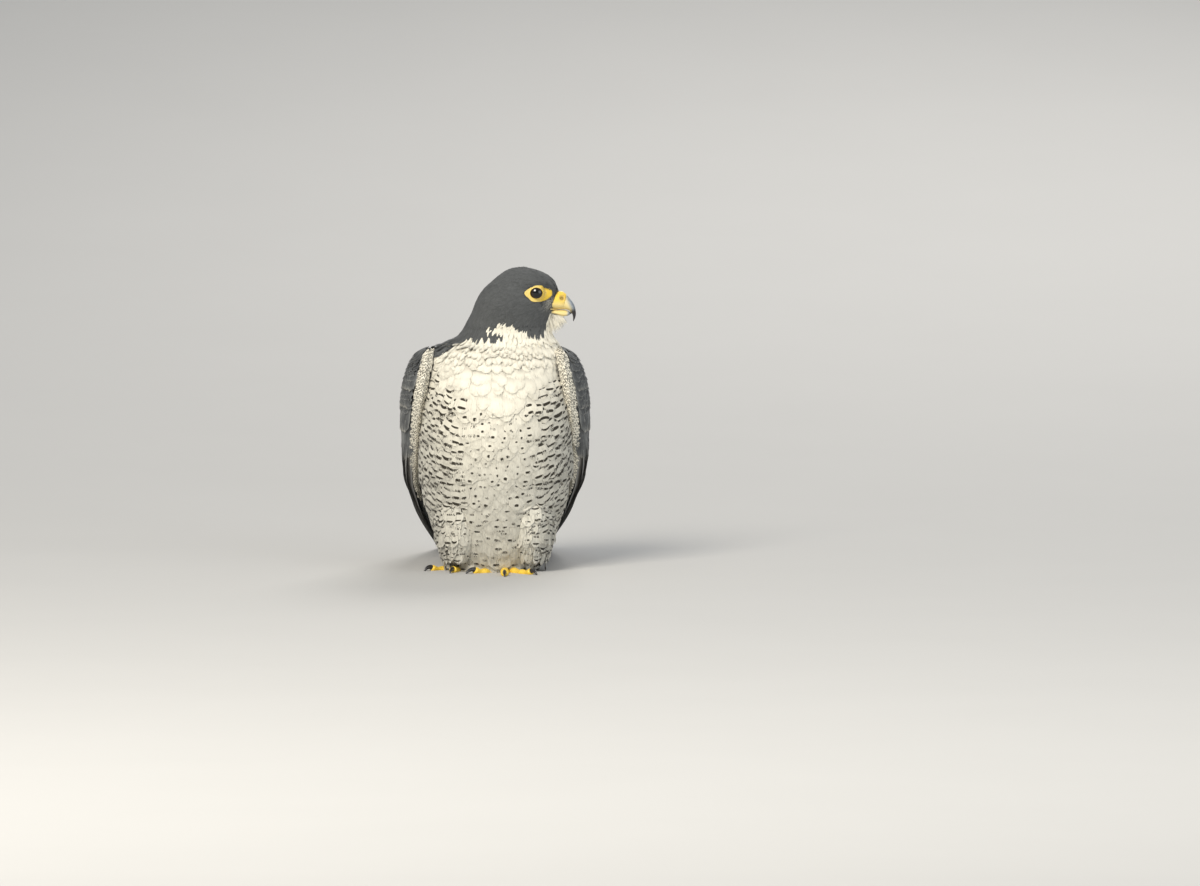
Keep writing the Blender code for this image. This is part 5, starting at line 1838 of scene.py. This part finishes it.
def make_feet():
    """Scaly yellow feet with ridged toes, and curved black claws."""
    size = look()
    yellow = finish_named("scaled_toe_skin", bare_skin_material, "scaled_toe_skin", size, 860.0, 1.1)
    black = finish_named("polished_talon", horn_material, "polished_talon", size)
    for side_name in SIDES:
        shells = []
        marks = []
        for toe_name in TOES:
            path, radius, heading, t = toe_line(side_name, toe_name, 96)
            angle = full_turn(28)
            rings = tube(path, radius, radius, angle)
            top = step(np.sin(angle), 0.1, 0.8)[None, :]
            plates = np.abs(np.sin(np.pi * t * TOES[toe_name][0] / TOE_PLATE))[:, None] ** 0.5
            ridge = 0.40 * (plates - 0.6) * top
            pads = 0.5 * np.cos(6.0 * np.pi * t)[:, None] * (1.0 - top)
            outward = unit(rings - path[:, None])
            rings = rings + outward * (ridge + 0.5 * pads)[..., None]
            rings = round_end(rings, 1.6)
            rings[..., 2] = np.maximum(rings[..., 2], LOWEST_TOE)
            shells.append(rings)
            groove = np.zeros(rings.shape[:2])
            groove[:len(plates)] = (1.0 - plates) * top * 0.5
            marks.append(channels(groove, 0.0, 0.0, 1.0))

            first = path[-1] + heading * 0.3
            s = even_shares(40)
            start, stop = [math.radians(slope) for slope in CLAW_SLOPES]
            bend = start + (stop - start) * s
            middle = 0.5 * (bend[1:] + bend[:-1])
            length = CLAW_LENGTH[toe_name]
            ahead = np.concatenate([[0.0], np.cumsum(np.cos(middle))]) * length / len(middle)
            rise = np.concatenate([[0.0], np.cumsum(np.sin(middle))]) * length / len(middle)
            room = first[2] - 0.5
            rise = rise * min(1.0, room / max(1e-6, -rise[-1]))
            curve = first + heading * (ahead - 0.6)[:, None]
            curve[:, 2] = first[2] + rise
            thick = CLAW_RADIUS * (1.0 - s) ** 0.75 + 0.16
            claw = tube(curve, thick * 0.82, thick, full_turn(20))
            claw = round_end(claw, 0.15, 3)
            claw[..., 2] = np.maximum(claw[..., 2], 0.1)
            shade = 1.0 - 0.12 * step(np.linspace(0, 1, len(claw)), 0.1, 0.0)
            claw_marks = np.repeat(channels(shade, 0.0, 0.0, 1.0)[:, None], claw.shape[1], axis=1)
            shell_piece("talon_" + side_name + "_" + toe_name, [claw], black,
                        ("claw_" + side_name + "_" + toe_name,), [claw_marks])
        fine = np.linspace(0.0, 9.6, 20)
        spread = smooth_table(SOLE_OUTLINE, fine)[:, 0]
        around = full_turn(36)
        sole = np.stack([FOOT_PLACE[side_name][0] + spread[:, None] * np.cos(around),
                         FOOT_PLACE[side_name][1] + spread[:, None] * np.sin(around),
                         fine[:, None] + 0.0 * around], axis=-1)
        sole[..., 2] = np.maximum(sole[..., 2], LOWEST_TOE)
        shells.append(sole)
        marks.append(plain_marks(sole))
        foot = np.array([*FOOT_PLACE[side_name], 5.0])
        heel = np.array(HEEL_PLACE[side_name])
        s = even_shares(50)
        radius = np.full(50, TARSUS_RADIUS)
        leg = tube(foot + (heel - foot) * s[:, None], radius, radius, full_turn(28))
        ring = 0.25 * np.abs(np.sin(np.pi * s * 18.0))[:, None]
        leg = leg + unit(leg - leg.mean(axis=1, keepdims=True)) * (ring - 0.15)[..., None]
        shells.append(leg)
        marks.append(plain_marks(leg))
        shell_piece("foot_skin_" + side_name, shells, yellow, ("foot_" + side_name,), marks)


def stage_material(name, colour, roughness):
    """A plain pale surface with a faint mottle."""
    finish, tree, shader = new_material(name, roughness, 0.2)
    mottled = blend_colours(tree, object_noise(tree, 6.0), scaled(colour, 0.97), colour)
    tree.links.new(mottled, shader.inputs["Base Color"])
    return finish


def area_light(name, place, target, energy, width, colour):
    """A square soft light aimed at a point."""
    lamp = bpy.data.lights.new(name, "AREA")
    lamp.energy = energy
    lamp.size = width
    lamp.color = colour
    item = bpy.data.objects.new(name, lamp)
    bpy.context.scene.collection.objects.link(item)
    aim_at(item, np.array(place), np.array(target))


def aim_at(item, place, target):
    """Puts an object at a place with its -Z axis towards a target and its Y axis up."""
    back = unit(place - target)
    right = unit(np.cross([0.0, 0.0, 1.0], back))
    up = np.cross(back, right)
    turn = np.eye(4)
    turn[:3, 0] = right
    turn[:3, 1] = up
    turn[:3, 2] = back
    turn[:3, 3] = place
    item.matrix_world = Matrix(turn.tolist())


def make_stage():
    """A floor that curves up into a backdrop, three soft lights and the camera."""
    depth = even_shares(60)
    reach = 9.0
    rise = 5.0
    bend = step(depth, 0.45, 1.0)
    y = (-12.0 + 2.0 * reach * depth / 0.75) * 1000.0
    z = rise * 1000.0 * bend**2
    x = np.linspace(-9000.0, 9000.0, 20)
    grid = np.stack(np.broadcast_arrays(x[None, :], y[:, None], z[:, None]), axis=-1)
    loops, starts = grid_faces(60, 20, closed=False)
    paper = stage_material("pale_paper", (0.52, 0.51, 0.49), 0.8)
    floor = fill_mesh("floor", grid.reshape(-1, 3), loops, starts, {}, {}, paper)

    centre = (0.0, 0.0, 0.15)
    area_light("key_light", (-1.3, -2.9, 2.5), centre, 150.0, 1.5, (1.0, 0.955, 0.87))
    area_light("fill_light", (2.6, -2.4, 1.0), centre, 34.0, 2.2, (0.90, 0.95, 1.0))
    area_light("back_light", (0.8, 2.6, 2.4), centre, 60.0, 1.6, (1.0, 0.98, 0.95))
    world = bpy.data.worlds.new("studio")
    bpy.context.scene.world = world
    world.use_nodes = True
    world.node_tree.nodes["Background"].inputs["Color"].default_value = (0.86, 0.92, 1.0, 1.0)
    world.node_tree.nodes["Background"].inputs["Strength"].default_value = 0.38
    bpy.context.scene.view_settings.view_transform = "Standard"

    stage = bpy.context.scene.falcon_stage
    scale = MM_PER_PIXEL * MM
    off_x = (0.5 * PICTURE[0] - LEG_PIXEL[0]) * scale
    off_up = (LEG_PIXEL[1] - 0.5 * PICTURE[1]) * scale
    tilt = stage.elevation
    target = np.array([off_x, -MIDDLE_OF_LENGTH * MM, off_up / math.cos(tilt)])
    place = target + stage.distance * np.array([0.0, -math.cos(tilt), math.sin(tilt)])
    lens = bpy.data.cameras.new("camera")
    lens.sensor_width = SENSOR_WIDTH
    lens.lens = SENSOR_WIDTH * stage.distance / (PICTURE[0] * scale)
    lens.clip_end = 100.0
    camera = bpy.data.objects.new("camera", lens)
    bpy.context.scene.collection.objects.link(camera)
    aim_at(camera, place, target)
    bpy.context.scene.camera = camera


class FALCON_OT_skin(bpy.types.Operator):
    """Make the skin that lies under all the feathers"""

    bl_idname = "falcon.skin"
    bl_label = "Skin"

    def execute(self, context):
        make_skin()
        return {"FINISHED"}


class FALCON_OT_body_coat(bpy.types.Operator):
    """Lay the feathers of the breast, belly, thighs and back"""

    bl_idname = "falcon.body_coat"
    bl_label = "Body feathers"

    def execute(self, context):
        make_front_coat()
        make_thigh_coat()
        make_mantle()
        return {"FINISHED"}


class FALCON_OT_head_coat(bpy.types.Operator):
    """Lay the short feathers of the head and neck and the chin's bristles"""

    bl_idname = "falcon.head_coat"
    bl_label = "Head feathers"

    def execute(self, context):
        make_head_coat()
        make_chin_bristles()
        return {"FINISHED"}


class FALCON_OT_wings(bpy.types.Operator):
    """Lay the flight feathers and coverts of both folded wings"""

    bl_idname = "falcon.wings"
    bl_label = "Wings"

    def execute(self, context):
        for side_name in SIDES:
            make_wing(side_name)
        return {"FINISHED"}


class FALCON_OT_tail(bpy.types.Operator):
    """Lay the tail feathers and the coverts over their roots"""

    bl_idname = "falcon.tail"
    bl_label = "Tail"

    def execute(self, context):
        make_tail()
        return {"FINISHED"}


class FALCON_OT_face(bpy.types.Operator):
    """Make the bill, the eyes and the bare skin round them"""

    bl_idname = "falcon.face"
    bl_label = "Bill and eyes"

    def execute(self, context):
        make_bill()
        make_eyes()
        return {"FINISHED"}


class FALCON_OT_feet(bpy.types.Operator):
    """Make the scaly feet and the claws"""

    bl_idname = "falcon.feet"
    bl_label = "Feet"

    def execute(self, context):
        make_feet()
        return {"FINISHED"}


class FALCON_OT_stage(bpy.types.Operator):
    """Make the floor, the lights and the camera"""

    bl_idname = "falcon.stage"
    bl_label = "Stage"

    def execute(self, context):
        make_stage()
        return {"FINISHED"}


OPERATORS = (FALCON_OT_skin, FALCON_OT_body_coat, FALCON_OT_head_coat, FALCON_OT_wings, FALCON_OT_tail,
             FALCON_OT_face, FALCON_OT_feet, FALCON_OT_stage)


class FALCON_PT_panel(bpy.types.Panel):
    """Sidebar panel with the falcon's settings and steps"""

    bl_idname = "FALCON_PT_panel"
    bl_label = "Peregrine falcon"
    bl_space_type = "VIEW_3D"
    bl_region_type = "UI"
    bl_category = "Falcon"

    def draw(self, context):
        for settings in (context.scene.falcon_plumage, context.scene.falcon_stage):
            for name in settings.__annotations__:
                self.layout.prop(settings, name)
        for operator in OPERATORS:
            self.layout.operator(operator.bl_idname)


CLASSES = (FalconPlumage, FalconStage, *OPERATORS, FALCON_PT_panel)


def register():
    """Registers the classes and puts the settings on the scene."""
    for made in CLASSES:
        bpy.utils.register_class(made)
    bpy.types.Scene.falcon_plumage = bpy.props.PointerProperty(type=FalconPlumage)
    bpy.types.Scene.falcon_stage = bpy.props.PointerProperty(type=FalconStage)


def unregister():
    """Takes the settings and classes away again."""
    del bpy.types.Scene.falcon_plumage
    del bpy.types.Scene.falcon_stage
    for made in reversed(CLASSES):
        bpy.utils.unregister_class(made)


def main():
    """Makes every piece in order."""
    register()
    bpy.ops.falcon.stage()
    bpy.ops.falcon.skin()
    bpy.ops.falcon.body_coat()
    bpy.ops.falcon.head_coat()
    bpy.ops.falcon.wings()
    bpy.ops.falcon.tail()
    bpy.ops.falcon.face()
    bpy.ops.falcon.feet()


if __name__ == "__main__":
    main()
